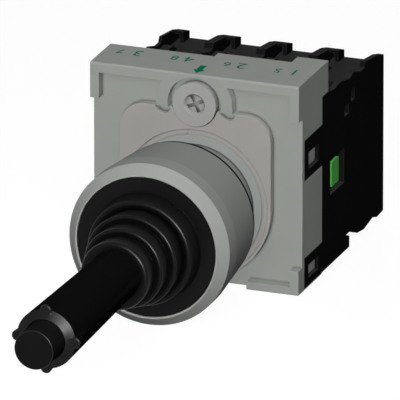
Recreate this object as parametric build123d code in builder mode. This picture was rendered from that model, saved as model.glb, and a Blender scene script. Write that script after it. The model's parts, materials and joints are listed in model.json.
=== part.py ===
"""Panel joystick: a sprung lever with a release button in its tip, a bezel and rubber
boot in front of the panel, and a clamped holder with four contact modules behind it.

Millimetres. X runs right as the operator sees it, Y runs back through the panel and Z up.
The origin is the centre of the mounting hole in the panel's front face.
"""

import os
from math import atan2, cos, degrees, radians, sin, tan

from build123d import *

# Panel hole and the parts that go through it
PANEL_HOLE_D = 22.3
HOLE_CLEARANCE = 0.15
COLLAR_R = PANEL_HOLE_D / 2 - HOLE_CLEARANCE
COLLAR_LENGTH = 9.6
COLLAR_BORE_R = 9.8
FIT = 0.05
LOOSE_FIT = 0.1
CUT_OVER = 1.0

# Stack in front of the panel, from the seal forward
SEAL_T = 0.8
SEAL_R = 14.0
BODY_FLANGE_T = 11.4
GATE_T = 1.2
SEAT_RING_T = 2.7
BOOT_FLANGE_T = 2.0
FLANGE_FRONT = -(SEAL_T + BODY_FLANGE_T)
GATE_FRONT = FLANGE_FRONT - GATE_T
SEAT_FRONT = GATE_FRONT - SEAT_RING_T
BEZEL_FRONT = SEAT_FRONT - BOOT_FLANGE_T

# Bezel
BEZEL_R = 15.3
BEZEL_BACK_R = 14.15
BEZEL_CONE_T = 1.8
BEZEL_STRAIGHT_T = 3.5
BEZEL_EDGE_FLAT = 0.2
BEZEL_WALL = 2.05
BEZEL_BORE_R = BEZEL_R - BEZEL_WALL
INSERT_R = BEZEL_BORE_R - LOOSE_FIT

# Tilting mechanism
TILT_LIMIT = 12.0
PIVOT_Y = -7.2
RING_OUTER_R = 7.4
RING_INNER_R = 5.0
RING_T = 3.0
PIN_R = 1.0
PIN_BODY_DEPTH = 1.6
PIN_SETBACK = 0.3
PIN_ROOT_SUNK = 0.6
RING_GAP = 1.0
BODY_BORE_R = RING_OUTER_R + RING_GAP
BODY_BORE_END = PIVOT_Y + PIN_R + 0.6
SHAFT_R = 3.0
HUB_R = 3.9
HUB_T = 4.0
HUB_SLOPE = 0.6
ROCKER_R = 7.0
ROCKER_RIM_T = 1.6
ROCKER_BACK = PIVOT_Y + 6.2
ROCKER_HUB_R = 5.4
ROCKER_HUB_FRONT = PIVOT_Y + 3.6
ROCKER_NECK_R = 4.2
NUT_FLATS = 7.5
NUT_T = 1.9
NUT_WELL_R = 4.6
GATE_CORNER_R = 2.5
GATE_CLEARANCE = 0.3
CENTERING_WIRE_R = 0.4
CENTERING_SPRING_R = BODY_BORE_R - 2 * CENTERING_WIRE_R
CENTERING_TOP_R = SHAFT_R + 1.1
CENTERING_TURNS = 5
WIRE_SIDE = 1.8

# Handle
HANDLE_BACK = -32.2
HANDLE_FRONT = -68.8
HANDLE_BACK_R = 4.65
HANDLE_FRONT_R = 5.5
HANDLE_CONE_T = 0.8
HANDLE_MOUTH_R = 3.9
SOCKET_DEPTH = 13.0
SOCKET_END_GAP = 0.5
RIB_COUNT = 4
RIB_R = 1.0
RIB_PROUD = 1.0
RIB_LENGTH = 8.9
RIB_OVERHANG = 0.35
CUP_T = 1.1
CUP_R = 4.9

# Release button
BUTTON_R = 3.65
BUTTON_PROUD = 5.4
BUTTON_LENGTH = 10.0
BUTTON_TRAVEL = 2.7
BUTTON_END_GAP = 0.3
BUTTON_EDGE = 0.45
BUTTON_WELL_R = BUTTON_R + LOOSE_FIT
ROD_R = 1.5
ROD_SEAT = 3.9
ROD_TAIL = 0.2
RELEASE_SPRING_LENGTH = 9.7
RELEASE_WELL_R = 3.0
RELEASE_WIRE_R = 0.3
RELEASE_SPRING_R = RELEASE_WELL_R - RELEASE_WIRE_R - 0.35
RELEASE_TURNS = 4

# Boot
BOOT_T = 0.75
BOOT_INNER_EDGE_R = 10.35
BOOT_FOLDS = 4
BOOT_CREST_R = 9.8
BOOT_CREST_Y = -22.0
BOOT_CREST_STEP_R = 1.1
BOOT_CREST_STEP_Y = 4.13
BOOT_EDGE = 0.7
BOOT_VALLEY_R = 0.85
BOOT_VALLEY_SINK = 0.6
BOOT_CUFF_RISE = 0.5

# Holder behind the panel
MODULE_PITCH = 10.0
MODULE_COUNT = 4
HOLDER_HALF = MODULE_PITCH * MODULE_COUNT / 2
HOLDER_TOP = 24.6
HOLDER_BOTTOM = -15.2
RIM_Y = 6.6
RIM_T = 2.0
FACE_Y = RIM_Y + RIM_T
HOLDER_WALL = 1.5
CAVITY_Y = FACE_Y + HOLDER_WALL
HOLDER_DEPTH = 12.4
HOLDER_BACK = RIM_Y + HOLDER_DEPTH
HOLDER_SIDE = 2.8
TOP_BAND = 1.9
LEG_W = 1.7
LEG_BOTTOM = 17.8
FOOT_W = 10.0
FOOT_T = 1.5
FOOT_TOP = -10.6
EDGE_BEVEL = 0.3
CATCH_FOOT = 0.6
CATCH_EDGE = 1.2
CAVITY_TOP = 13.0
CAVITY_BOTTOM = -13.2
POCKET_TOP = 17.4
POCKET_INNER = 5.5
TOP_LEFT_CUT = 1.9
TOP_EAR_W = 5.9
TOP_EAR_T = 3.1
TOP_EAR_BOTTOM = 18.7

# Clamp screw and the boss round it
SCREW_Z = 18.8
SCREW_R = 4.1
SCREW_HEAD_T = 1.8
SCREW_SHANK_R = 2.0
SCREW_LENGTH = 9.0
SCREW_END_GAP = 0.2
SCREW_WELL_R = 5.1
BOSS_R = 7.3
DRIVE_R = 1.65
DRIVE_MOUTH = 0.4
DRIVE_DEPTH = 1.3
DRIVE_SLOT_W = 0.7
DRIVE_TURN = 25

# Locking plate
PLATE_HALF = 14.5
PLATE_TOP = 17.8
PLATE_T = 1.6
PLATE_CORNER_R = 5.0
PLATE_BORE_R = COLLAR_R + 2 * LOOSE_FIT
NOTCH_R = 1.5
NOTCH_X = 6.2
PLATE_GROOVE_OUT_R = 13.95
PLATE_GROOVE_IN_R = 12.8
PLATE_GROOVE_T = 0.3
PLATE_STEP_T = 0.2
PLATE_STEP_X = -1.4

# Tappets
TAPPET_OFFSET = 6.2
TAPPET_R = 1.2
TAPPET_TIP_BEVEL = 0.5
TAPPET_FREE_PLAY = 0.6
TAPPET_ARM_T = 2.0
TAPPET_ARM_W = 2.2
TAPPET_ARM_END_W = 2.6
TAPPET_ARM_SHIFT = (1.0, 0.9)
TAPPET_TRAVEL = TAPPET_OFFSET * radians(TILT_LIMIT)
TAPPET_ARM_Y = CAVITY_Y + TAPPET_TRAVEL + 0.6
GUIDE_FRONT = 3.3
GUIDE_T = 3.0
GUIDE_SEAT = 0.4
GUIDE_EYE_R = 3.4

# Contact modules
MODULE_GAP = 0.1
MODULE_BACK = RIM_Y + 45.1
BLOCK_T = 3.3
BLOCK_POST = 0.7
BLOCK_POCKET = 2.3
BLOCK_POCKET_TOP = 16.3
MODULE_BOTTOM = -15.0
MODULE_WALL = 1.05
COVER_T = 2.3
COVER_SKIN = 0.6
DECK_Z = 14.6
DECK_START = RIM_Y + 15.5
MODULE_CAVITY_TOP = 13.4
MODULE_CAVITY_BOTTOM = -11.0
LUG_T = 1.5
LUG_FRONT = RIM_Y + 3.2
LUG_HIGH = (5.6, 13.3)
LUG_LOW = (-15.0, -9.2)
LUG_WINDOW_Y = (RIM_Y + 5.4, RIM_Y + 10.5)
LUG_HIGH_WINDOW = (7.2, 10.4)
LUG_LOW_WINDOW = (-13.6, -11.1)
NUB_SUNK = 0.67
NUB_GAP = 0.15
STATE_WINDOW_Z = (-1.6, 4.9)
WINDOW_DEPTH = 0.5
SIDE_SLOT_Y = (RIM_Y + 27.7, RIM_Y + 29.5)
SIDE_SLOT_Z = (12.7, 14.8)
SIDE_PORT_Y = (RIM_Y + 24.3, RIM_Y + 26.6)
SIDE_PORT_Z = (10.9, 12.8)

# Plunger, bridge and fixed contacts in a module
PLUNGER_X = 5.0
PLUNGER_Z = 1.7
PLUNGER_W = 4.0
PLUNGER_H = 4.6
NOSE_H = 2.0
PLUNGER_BACK = RIM_Y + 19.6
PLUNGER_NECK_R = 1.1
PLUNGER_NECK_LENGTH = 5.0
FLAG_Y = (RIM_Y + 18.4, RIM_Y + 22.0)
FLAG_SUNK = 0.3
FLAG_T = 1.2
FLAG_ROOT = 0.8
WINDOW_MARGIN = (0.3, 0.8)
BRIDGE_T = 0.7
BRIDGE_W = 3.0
BRIDGE_SPAN = 5.0
BRIDGE_OVERHANG = 1.3
TIP_W = 2.0
TIP_T = 0.5
CONTACT_AIR_GAP = TAPPET_TRAVEL + 0.25
STRIP_T = 0.8
STRIP_STEP = 3.5
STRIP_KNEE = 1.9
STRIP_LAP = 1.3
STRIP_INSET = 0.15
TERMINAL_SCREW_R = 1.3
TERMINAL_HEAD_R = 2.1
TERMINAL_HEAD_T = 1.8
TERMINAL_INSET = 2.4
TERMINAL_POINT = 0.4
WASHER_SIZE = 4.4
WASHER_T = 1.2
WIRE_GAP = 1.8
WIRE_PORT_W = 3.4
MODULE_SPRING_R = 1.75
MODULE_SPRING_WIRE = 0.22
MODULE_SPRING_TURNS = 3
MODULE_POST_R = 1.2

os.makedirs("parts", exist_ok=True)


def save(piece, name):
    """Label a finished piece and write it to a file of the same name."""
    piece.part.label = name
    export_step(piece.part, f"parts/{name}.step")


def depth(y):
    """The plane across the joystick's axis at one depth; extrude by a minus to go back."""
    return Plane.XZ.offset(-y)


def half_section(*points):
    """A closed half-section of (radius, depth) points, to be turned about the Y axis."""
    with BuildSketch(Plane.XY) as section:
        with BuildLine():
            Polyline(*points, close=True)
        make_face()
    return section.sketch


def box_between(x, y, z):
    """A block given by its two limits along each axis, kept out of any open block."""
    size = (x[1] - x[0], y[1] - y[0], z[1] - z[0])
    middle = ((x[0] + x[1]) / 2, (y[0] + y[1]) / 2, (z[0] + z[1]) / 2)
    return Pos(*middle) * Box(*size, mode=Mode.PRIVATE)


def make_spring(start, end, start_r, end_r, wire_r, turns, at=(0, 0)):
    """A coil along Y between two depths, swept with a square wire, straight or tapered."""
    low, height = start + wire_r, end - start - 2 * wire_r
    taper = degrees(atan2(end_r - start_r, height))
    centre = (at[0], low, at[1])
    with BuildPart() as spring:
        with BuildLine():
            path = Helix(height / turns, height, start_r, centre, (0, 1, 0), taper)
        with BuildSketch(path ^ 0):
            Rectangle(WIRE_SIDE * wire_r, WIRE_SIDE * wire_r)
        sweep(is_frenet=True)
    return spring


# Bezel: a turned ring with a conical face, straight at first and tapered towards the panel
with BuildPart() as bezel:
    revolve(
        half_section(
            (BEZEL_BORE_R, BEZEL_FRONT),
            (BEZEL_BORE_R + BEZEL_EDGE_FLAT, BEZEL_FRONT),
            (BEZEL_R, BEZEL_FRONT + BEZEL_CONE_T),
            (BEZEL_R, BEZEL_FRONT + BEZEL_CONE_T + BEZEL_STRAIGHT_T),
            (BEZEL_BACK_R, -SEAL_T),
            (BEZEL_BORE_R, -SEAL_T),
        ),
        axis=Axis.Y,
    )
save(bezel, "bezel")

# Seal between the bezel and the panel
with BuildPart() as panel_seal:
    revolve(
        half_section(
            (COLLAR_R + FIT, -SEAL_T), (SEAL_R, -SEAL_T), (SEAL_R, 0), (COLLAR_R + FIT, 0)
        ),
        axis=Axis.Y,
    )
save(panel_seal, "panel_seal")

# Actuator body: flange inside the bezel, collar through the panel, pin seats across it
GUIDE_BACK = GUIDE_FRONT + GUIDE_T
with BuildPart() as actuator_body:
    revolve(
        half_section(
            (BODY_BORE_R, FLANGE_FRONT),
            (INSERT_R, FLANGE_FRONT),
            (INSERT_R, -SEAL_T),
            (COLLAR_R, -SEAL_T),
            (COLLAR_R, COLLAR_LENGTH),
            (COLLAR_BORE_R + GUIDE_SEAT, COLLAR_LENGTH),
            (COLLAR_BORE_R + GUIDE_SEAT, GUIDE_FRONT),
            (COLLAR_BORE_R, GUIDE_FRONT),
            (COLLAR_BORE_R, BODY_BORE_END),
            (BODY_BORE_R, BODY_BORE_END),
        ),
        axis=Axis.Y,
    )
    with BuildSketch(Plane.YZ):
        with Locations((PIVOT_Y, 0)):
            Circle(PIN_R + FIT)
    extrude(amount=BODY_BORE_R + PIN_BODY_DEPTH, both=True, mode=Mode.SUBTRACT)
save(actuator_body, "actuator_body")

# Gate plate: its square hole stops the shaft at the tilt limit
GATE_SWING = (PIVOT_Y - GATE_FRONT) * tan(radians(TILT_LIMIT)) + SHAFT_R / cos(radians(TILT_LIMIT))
GATE_HALF = GATE_SWING + GATE_CLEARANCE
with BuildPart() as gate_plate:
    with BuildSketch(depth(GATE_FRONT)):
        Circle(INSERT_R)
        RectangleRounded(2 * GATE_HALF, 2 * GATE_HALF, GATE_CORNER_R, mode=Mode.SUBTRACT)
    extrude(amount=-GATE_T)
save(gate_plate, "gate_plate")

# Seat ring that the boot's flange rests on
with BuildPart() as boot_seat_ring:
    with BuildSketch(depth(SEAT_FRONT)):
        Circle(INSERT_R)
        Circle(BODY_BORE_R + CENTERING_WIRE_R, mode=Mode.SUBTRACT)
    extrude(amount=-SEAT_RING_T)
save(boot_seat_ring, "boot_seat_ring")

# Boot: stepped folds between the bezel and the handle, each with a flat front and an edge
def boot_outline(inward):
    """Fold points from the flange to the cuff, moved towards the axis by a wall."""
    points = [(BOOT_INNER_EDGE_R - inward, BEZEL_FRONT + inward)]
    valley_y = BEZEL_FRONT + BOOT_VALLEY_SINK
    for fold in range(BOOT_FOLDS):
        crest_r = BOOT_CREST_R - fold * BOOT_CREST_STEP_R - inward
        crest_y = BOOT_CREST_Y - fold * BOOT_CREST_STEP_Y + inward
        points.append((crest_r - BOOT_VALLEY_R, valley_y + inward))
        points.append((crest_r, crest_y + BOOT_EDGE))
        points.append((crest_r - BOOT_EDGE, crest_y))
        valley_y = crest_y - inward + BOOT_VALLEY_SINK
    return points


CUFF_R = HANDLE_BACK_R + LOOSE_FIT
BOOT_TOP_Y = BOOT_CREST_Y - (BOOT_FOLDS - 1) * BOOT_CREST_STEP_Y - BOOT_CUFF_RISE
with BuildPart() as boot:
    revolve(
        half_section(
            *boot_outline(0),
            (CUFF_R, BOOT_TOP_Y),
            *reversed(boot_outline(BOOT_T)),
            (BOOT_INNER_EDGE_R - BOOT_T, BEZEL_FRONT + BOOT_FLANGE_T),
            (INSERT_R, BEZEL_FRONT + BOOT_FLANGE_T),
            (INSERT_R, BEZEL_FRONT),
        ),
        axis=Axis.Y,
    )
save(boot, "boot")

# Gimbal ring: turns on the body's pins and carries the shaft's pins at right angles
with BuildPart() as gimbal_ring:
    with BuildSketch(depth(PIVOT_Y - RING_T / 2)):
        Circle(RING_OUTER_R)
        Circle(RING_INNER_R, mode=Mode.SUBTRACT)
    extrude(amount=-RING_T)
    with BuildSketch(Plane.YZ):
        with Locations((PIVOT_Y, 0)):
            Circle(PIN_R + FIT)
    extrude(amount=BODY_BORE_R, both=True, mode=Mode.SUBTRACT)
    with BuildSketch(Plane.XY):
        with Locations((0, PIVOT_Y)):
            Circle(PIN_R + FIT)
    extrude(amount=BODY_BORE_R, both=True, mode=Mode.SUBTRACT)
save(gimbal_ring, "gimbal_ring")

# Gimbal pins in the body, left and right
PIN_INNER = RING_INNER_R + PIN_SETBACK
with BuildPart() as gimbal_pins:
    for side in (1, -1):
        with BuildSketch(Plane.YZ.offset(side * PIN_INNER)):
            with Locations((PIVOT_Y, 0)):
                Circle(PIN_R)
        extrude(amount=side * (BODY_BORE_R + PIN_BODY_DEPTH - LOOSE_FIT - PIN_INNER))
save(gimbal_pins, "gimbal_pins")

# Shaft pins, top and bottom, from the shaft's hub into the gimbal ring
PIN_ROOT = SHAFT_R - PIN_ROOT_SUNK
with BuildPart() as shaft_pins:
    for side in (1, -1):
        with BuildSketch(Plane.XY.offset(side * PIN_ROOT)):
            with Locations((0, PIVOT_Y)):
                Circle(PIN_R)
        extrude(amount=side * (RING_OUTER_R - 2 * LOOSE_FIT - PIN_ROOT))
save(shaft_pins, "shaft_pins")

# Shaft: hollow for the release rod, with a hub at the pivot
SHAFT_FRONT = HANDLE_BACK - SOCKET_DEPTH + SOCKET_END_GAP
ROD_BORE_R = ROD_R + LOOSE_FIT
NUT_SEAT = ROCKER_BACK - NUT_T - LOOSE_FIT
with BuildPart() as lever_shaft:
    revolve(
        half_section(
            (ROD_BORE_R, SHAFT_FRONT),
            (SHAFT_R, SHAFT_FRONT),
            (SHAFT_R, PIVOT_Y - HUB_T / 2),
            (HUB_R, PIVOT_Y - HUB_T / 2 + HUB_SLOPE),
            (HUB_R, PIVOT_Y + HUB_T / 2),
            (SHAFT_R, PIVOT_Y + HUB_T / 2),
            (SHAFT_R, ROCKER_BACK - LOOSE_FIT),
            (ROD_BORE_R, ROCKER_BACK - LOOSE_FIT),
        ),
        axis=Axis.Y,
    )
    for side in (1, -1):
        with BuildSketch(Plane.XY.offset(side * (PIN_ROOT - FIT))):
            with Locations((0, PIVOT_Y)):
                Circle(PIN_R + FIT / 2)
        extrude(amount=side * HUB_R, mode=Mode.SUBTRACT)
save(lever_shaft, "lever_shaft")

# Rocker: a disc behind the gimbal whose rear face works the four tappets
with BuildPart() as rocker_disc:
    revolve(
        half_section(
            (SHAFT_R + FIT, PIVOT_Y + HUB_T / 2),
            (ROCKER_NECK_R, PIVOT_Y + HUB_T / 2),
            (ROCKER_NECK_R, ROCKER_HUB_FRONT),
            (ROCKER_HUB_R, ROCKER_HUB_FRONT),
            (ROCKER_HUB_R, ROCKER_BACK - ROCKER_RIM_T),
            (ROCKER_R, ROCKER_BACK - ROCKER_RIM_T),
            (ROCKER_R, ROCKER_BACK),
            (NUT_WELL_R, ROCKER_BACK),
            (NUT_WELL_R, NUT_SEAT),
            (SHAFT_R + FIT, NUT_SEAT),
        ),
        axis=Axis.Y,
    )
save(rocker_disc, "rocker_disc")

# Nut that holds the rocker on the shaft, flush in its well
with BuildPart() as rocker_nut:
    with BuildSketch(depth(NUT_SEAT)):
        RegularPolygon(NUT_FLATS / 2, 6, major_radius=False)
        Circle(SHAFT_R + FIT, mode=Mode.SUBTRACT)
    extrude(amount=-NUT_T)
save(rocker_nut, "rocker_nut")

# Handle: a tapered grip with four half-round ribs near its tip
RELEASE_SEAT = HANDLE_FRONT - BUTTON_PROUD + BUTTON_LENGTH + RELEASE_SPRING_LENGTH
BUTTON_BACK = HANDLE_FRONT - BUTTON_PROUD + BUTTON_LENGTH
BUTTON_WELL_END = BUTTON_BACK + BUTTON_TRAVEL + BUTTON_END_GAP


def rib_plane(angle):
    """The plane a rib grows back from, tipped so that its far end sinks into the grip."""
    around = radians(angle)
    outward = Vector(sin(around), 0, cos(around))
    sink = atan2(RIB_R + RIB_PROUD + HANDLE_FRONT_R - HANDLE_BACK_R, 2 * RIB_LENGTH)
    back = Vector(0, cos(sink), 0) - outward * sin(sink)
    centre = outward * (HANDLE_FRONT_R + RIB_PROUD - RIB_R)
    return Plane(
        origin=centre + Vector(0, HANDLE_FRONT + HANDLE_CONE_T - RIB_OVERHANG, 0),
        x_dir=Vector(cos(around), 0, -sin(around)),
        z_dir=back,
    )


with BuildPart() as handle:
    revolve(
        half_section(
            (0, HANDLE_BACK),
            (HANDLE_BACK_R, HANDLE_BACK),
            (HANDLE_FRONT_R, HANDLE_FRONT + HANDLE_CONE_T),
            (HANDLE_MOUTH_R, HANDLE_FRONT),
            (0, HANDLE_FRONT),
        ),
        axis=Axis.Y,
    )
    for rib in range(RIB_COUNT):
        with BuildSketch(rib_plane(rib * 360 / RIB_COUNT)):
            Circle(RIB_R)
        extrude(amount=RIB_LENGTH)
    revolve(
        half_section(
            (0, HANDLE_BACK),
            (SHAFT_R + FIT, HANDLE_BACK),
            (SHAFT_R + FIT, HANDLE_BACK - SOCKET_DEPTH),
            (ROD_BORE_R, HANDLE_BACK - SOCKET_DEPTH),
            (ROD_BORE_R, RELEASE_SEAT),
            (RELEASE_WELL_R, RELEASE_SEAT),
            (RELEASE_WELL_R, BUTTON_WELL_END),
            (BUTTON_WELL_R, BUTTON_WELL_END),
            (BUTTON_WELL_R, HANDLE_FRONT),
            (0, HANDLE_FRONT),
        ),
        axis=Axis.Y,
        mode=Mode.SUBTRACT,
    )
save(handle, "handle")

# Spring cup under the handle, and the conical spring that centres the lever
with BuildPart() as spring_cup:
    with BuildSketch(depth(HANDLE_BACK)):
        Circle(CUP_R)
        Circle(SHAFT_R + FIT, mode=Mode.SUBTRACT)
    extrude(amount=-CUP_T)
save(spring_cup, "spring_cup")

centering_spring = make_spring(
    HANDLE_BACK + CUP_T + FIT, GATE_FRONT - FIT, CENTERING_TOP_R, CENTERING_SPRING_R,
    CENTERING_WIRE_R, CENTERING_TURNS,
)
save(centering_spring, "centering_spring")

# Release button, its rod through the shaft and its return spring
with BuildPart() as release_button:
    revolve(
        half_section(
            (0, HANDLE_FRONT - BUTTON_PROUD),
            (BUTTON_R - BUTTON_EDGE, HANDLE_FRONT - BUTTON_PROUD),
            (BUTTON_R, HANDLE_FRONT - BUTTON_PROUD + BUTTON_EDGE),
            (BUTTON_R, BUTTON_BACK),
            (ROD_R + FIT, BUTTON_BACK),
            (ROD_R + FIT, BUTTON_BACK - ROD_SEAT),
            (0, BUTTON_BACK - ROD_SEAT),
        ),
        axis=Axis.Y,
    )
save(release_button, "release_button")

with BuildPart() as release_rod:
    with BuildSketch(depth(BUTTON_BACK - ROD_SEAT + FIT)):
        Circle(ROD_R)
    extrude(amount=-(ROCKER_BACK + ROD_TAIL - BUTTON_BACK + ROD_SEAT - FIT))
save(release_rod, "release_rod")

release_spring = make_spring(
    BUTTON_BACK + FIT, RELEASE_SEAT - FIT, RELEASE_SPRING_R, RELEASE_SPRING_R,
    RELEASE_WIRE_R, RELEASE_TURNS,
)
save(release_spring, "release_spring")

# Holder: a die-cast frame behind the panel, open at the back for the contact modules
LUG_WALL = HOLDER_HALF - LUG_T - LOOSE_FIT


def lug_spans():
    """Height and window height of the upper and the lower lug."""
    return ((LUG_HIGH, LUG_HIGH_WINDOW), (LUG_LOW, LUG_LOW_WINDOW))


with BuildPart() as holder_frame:
    with BuildSketch(depth(FACE_Y)):
        with Locations((0, (HOLDER_TOP + HOLDER_BOTTOM) / 2)):
            Rectangle(2 * HOLDER_HALF, HOLDER_TOP - HOLDER_BOTTOM)
    extrude(amount=-(HOLDER_BACK - FACE_Y))
    with BuildSketch(depth(RIM_Y)):
        with Locations((0, HOLDER_TOP - TOP_BAND / 2)):
            Rectangle(2 * HOLDER_HALF, TOP_BAND)
        for side in (1, -1):
            with Locations((side * (HOLDER_HALF - LEG_W / 2), (HOLDER_TOP + LEG_BOTTOM) / 2)):
                Rectangle(LEG_W, HOLDER_TOP - LEG_BOTTOM)
            with Locations((side * (HOLDER_HALF - LEG_W / 2), (FOOT_TOP + HOLDER_BOTTOM) / 2)):
                Rectangle(LEG_W, FOOT_TOP - HOLDER_BOTTOM)
            with Locations((side * (HOLDER_HALF - FOOT_W / 2), HOLDER_BOTTOM + FOOT_T / 2)):
                Rectangle(FOOT_W, FOOT_T)
        with Locations((0, SCREW_Z)):
            Circle(BOSS_R)
        with Locations((0, PLATE_TOP + FIT - BOSS_R)):
            Rectangle(2 * BOSS_R, 2 * BOSS_R, mode=Mode.SUBTRACT)
        with Locations((0, HOLDER_TOP + BOSS_R)):
            Rectangle(2 * BOSS_R, 2 * BOSS_R, mode=Mode.SUBTRACT)
    extrude(amount=-RIM_T)
    top_front = holder_frame.edges().filter_by(Axis.X).sort_by(Axis.Z)[-4:].sort_by(Axis.Y)[0]
    chamfer(top_front, EDGE_BEVEL)
    with BuildSketch(depth(CAVITY_Y)):
        with Locations((0, (CAVITY_TOP + CAVITY_BOTTOM) / 2)):
            Rectangle(2 * (HOLDER_HALF - HOLDER_SIDE), CAVITY_TOP - CAVITY_BOTTOM)
        pocket_w = HOLDER_HALF - HOLDER_SIDE - POCKET_INNER
        for side in (1, -1):
            with Locations((side * (POCKET_INNER + pocket_w / 2), (CAVITY_TOP + POCKET_TOP) / 2)):
                Rectangle(pocket_w, POCKET_TOP - CAVITY_TOP)
    extrude(amount=-(HOLDER_BACK - CAVITY_Y), mode=Mode.SUBTRACT)
    add(
        box_between(
            (HOLDER_HALF - TOP_EAR_W, HOLDER_HALF), (HOLDER_BACK, HOLDER_BACK + TOP_EAR_T),
            (TOP_EAR_BOTTOM, HOLDER_TOP),
        )
    )
    add(
        box_between(
            (-HOLDER_HALF, 0), (HOLDER_BACK - TOP_LEFT_CUT, HOLDER_BACK), (TOP_EAR_BOTTOM, HOLDER_TOP)
        ),
        mode=Mode.SUBTRACT,
    )
    for side in (1, -1):
        for lug, window in lug_spans():
            outer_x = sorted((side * LUG_WALL, side * HOLDER_HALF))
            seat = (max(lug[0] - LOOSE_FIT, HOLDER_BOTTOM), lug[1] + LOOSE_FIT)
            add(box_between(outer_x, (LUG_FRONT - LOOSE_FIT, HOLDER_BACK), seat), mode=Mode.SUBTRACT)
            add(
                box_between(
                    sorted((side * LUG_WALL, side * (HOLDER_HALF - NUB_SUNK))),
                    (LUG_WINDOW_Y[0] + NUB_GAP, LUG_WINDOW_Y[1] - NUB_GAP),
                    (window[0] + NUB_GAP, window[1] - NUB_GAP),
                )
            )
            rib_x = MODULE_PITCH - LUG_T - LOOSE_FIT
            rib_z = (max(lug[0] + CATCH_FOOT, CAVITY_BOTTOM), min(lug[1], CAVITY_TOP))
            add(
                box_between(
                    sorted((side * (rib_x - MODULE_WALL), side * rib_x)), (CAVITY_Y, HOLDER_BACK - LOOSE_FIT),
                    rib_z,
                )
            )
            nub_z = (max(window[0], rib_z[0] + CATCH_EDGE) + NUB_GAP, window[1] - NUB_GAP)
            add(
                box_between(
                    sorted((side * rib_x, side * (MODULE_PITCH - NUB_SUNK))),
                    (LUG_WINDOW_Y[0] + NUB_GAP, LUG_WINDOW_Y[1] - NUB_GAP),
                    nub_z,
                )
            )
    with BuildSketch(depth(FACE_Y)):
        Circle(PLATE_BORE_R)
    extrude(amount=-HOLDER_WALL, mode=Mode.SUBTRACT)
    with BuildSketch(depth(RIM_Y)):
        with Locations((0, SCREW_Z)):
            Circle(SCREW_WELL_R)
    extrude(amount=-RIM_T, mode=Mode.SUBTRACT)
    with BuildSketch(depth(FACE_Y)):
        with Locations((0, SCREW_Z)):
            Circle(SCREW_SHANK_R + FIT)
    extrude(amount=-(SCREW_LENGTH + SCREW_END_GAP - RIM_T), mode=Mode.SUBTRACT)
save(holder_frame, "holder_frame")

# Locking plate: clamps the collar in the holder
PLATE_Y = FACE_Y - PLATE_T
with BuildPart() as locking_plate:
    with BuildSketch(depth(PLATE_Y)) as plate_face:
        Circle(PLATE_HALF)
        with Locations((0, PLATE_TOP / 2)):
            Rectangle(2 * PLATE_HALF, PLATE_TOP)
        upper = plate_face.vertices().group_by(Axis.Z)[-1]
        fillet(upper, PLATE_CORNER_R)
        Circle(PLATE_BORE_R, mode=Mode.SUBTRACT)
        with Locations((NOTCH_X, PLATE_TOP), (-NOTCH_X, PLATE_TOP)):
            Circle(NOTCH_R, mode=Mode.SUBTRACT)
        with Locations((0, SCREW_Z)):
            Circle(SCREW_R + NUB_GAP, mode=Mode.SUBTRACT)
    extrude(amount=-PLATE_T)
    with BuildSketch(depth(PLATE_Y)):
        Circle(PLATE_GROOVE_OUT_R)
        Circle(PLATE_GROOVE_IN_R, mode=Mode.SUBTRACT)
    extrude(amount=-PLATE_GROOVE_T, mode=Mode.SUBTRACT)
    with BuildSketch(depth(PLATE_Y + PLATE_GROOVE_T)):
        Circle(PLATE_GROOVE_OUT_R)
        Circle(PLATE_GROOVE_IN_R, mode=Mode.SUBTRACT)
        with Locations((PLATE_STEP_X + PLATE_GROOVE_OUT_R, 0)):
            Rectangle(2 * PLATE_GROOVE_OUT_R, 2 * PLATE_GROOVE_OUT_R, mode=Mode.SUBTRACT)
    extrude(amount=-PLATE_STEP_T, mode=Mode.SUBTRACT)
save(locking_plate, "locking_plate")

# Clamp screw with a cross drive in a funnel
DRIVE_TAPER = degrees(atan2(DRIVE_MOUTH, DRIVE_DEPTH / 2))
with BuildPart() as clamp_screw:
    with BuildSketch(depth(RIM_Y)):
        with Locations((0, SCREW_Z)):
            Circle(SCREW_R)
    extrude(amount=-SCREW_HEAD_T)
    with BuildSketch(depth(RIM_Y + SCREW_HEAD_T)):
        with Locations((0, SCREW_Z)):
            Circle(SCREW_SHANK_R)
    extrude(amount=-(SCREW_LENGTH - SCREW_HEAD_T))
    with BuildSketch(depth(RIM_Y)):
        with Locations((0, SCREW_Z)):
            Circle(DRIVE_R + DRIVE_MOUTH)
    extrude(amount=-DRIVE_DEPTH / 2, taper=DRIVE_TAPER, mode=Mode.SUBTRACT)
    with BuildSketch(depth(RIM_Y)):
        with Locations((0, SCREW_Z)):
            Rectangle(2 * DRIVE_R, DRIVE_SLOT_W, rotation=DRIVE_TURN)
            Rectangle(DRIVE_SLOT_W, 2 * DRIVE_R, rotation=DRIVE_TURN)
    extrude(amount=-DRIVE_DEPTH, mode=Mode.SUBTRACT)
save(clamp_screw, "clamp_screw")

# Guide in the collar's rear for the four tappets
with BuildPart() as tappet_guide:
    with BuildSketch(depth(GUIDE_FRONT)):
        Circle(COLLAR_BORE_R + GUIDE_SEAT - FIT)
        Circle(GUIDE_EYE_R, mode=Mode.SUBTRACT)
        with PolarLocations(TAPPET_OFFSET, 4):
            Circle(TAPPET_R + LOOSE_FIT, mode=Mode.SUBTRACT)
    extrude(amount=-GUIDE_T)
save(tappet_guide, "tappet_guide")

# Tappets: a rod under the rocker and an arm across to its own contact module
def module_left(index):
    """The left edge of a contact module, counted from the left."""
    return (index - MODULE_COUNT / 2) * MODULE_PITCH


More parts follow.
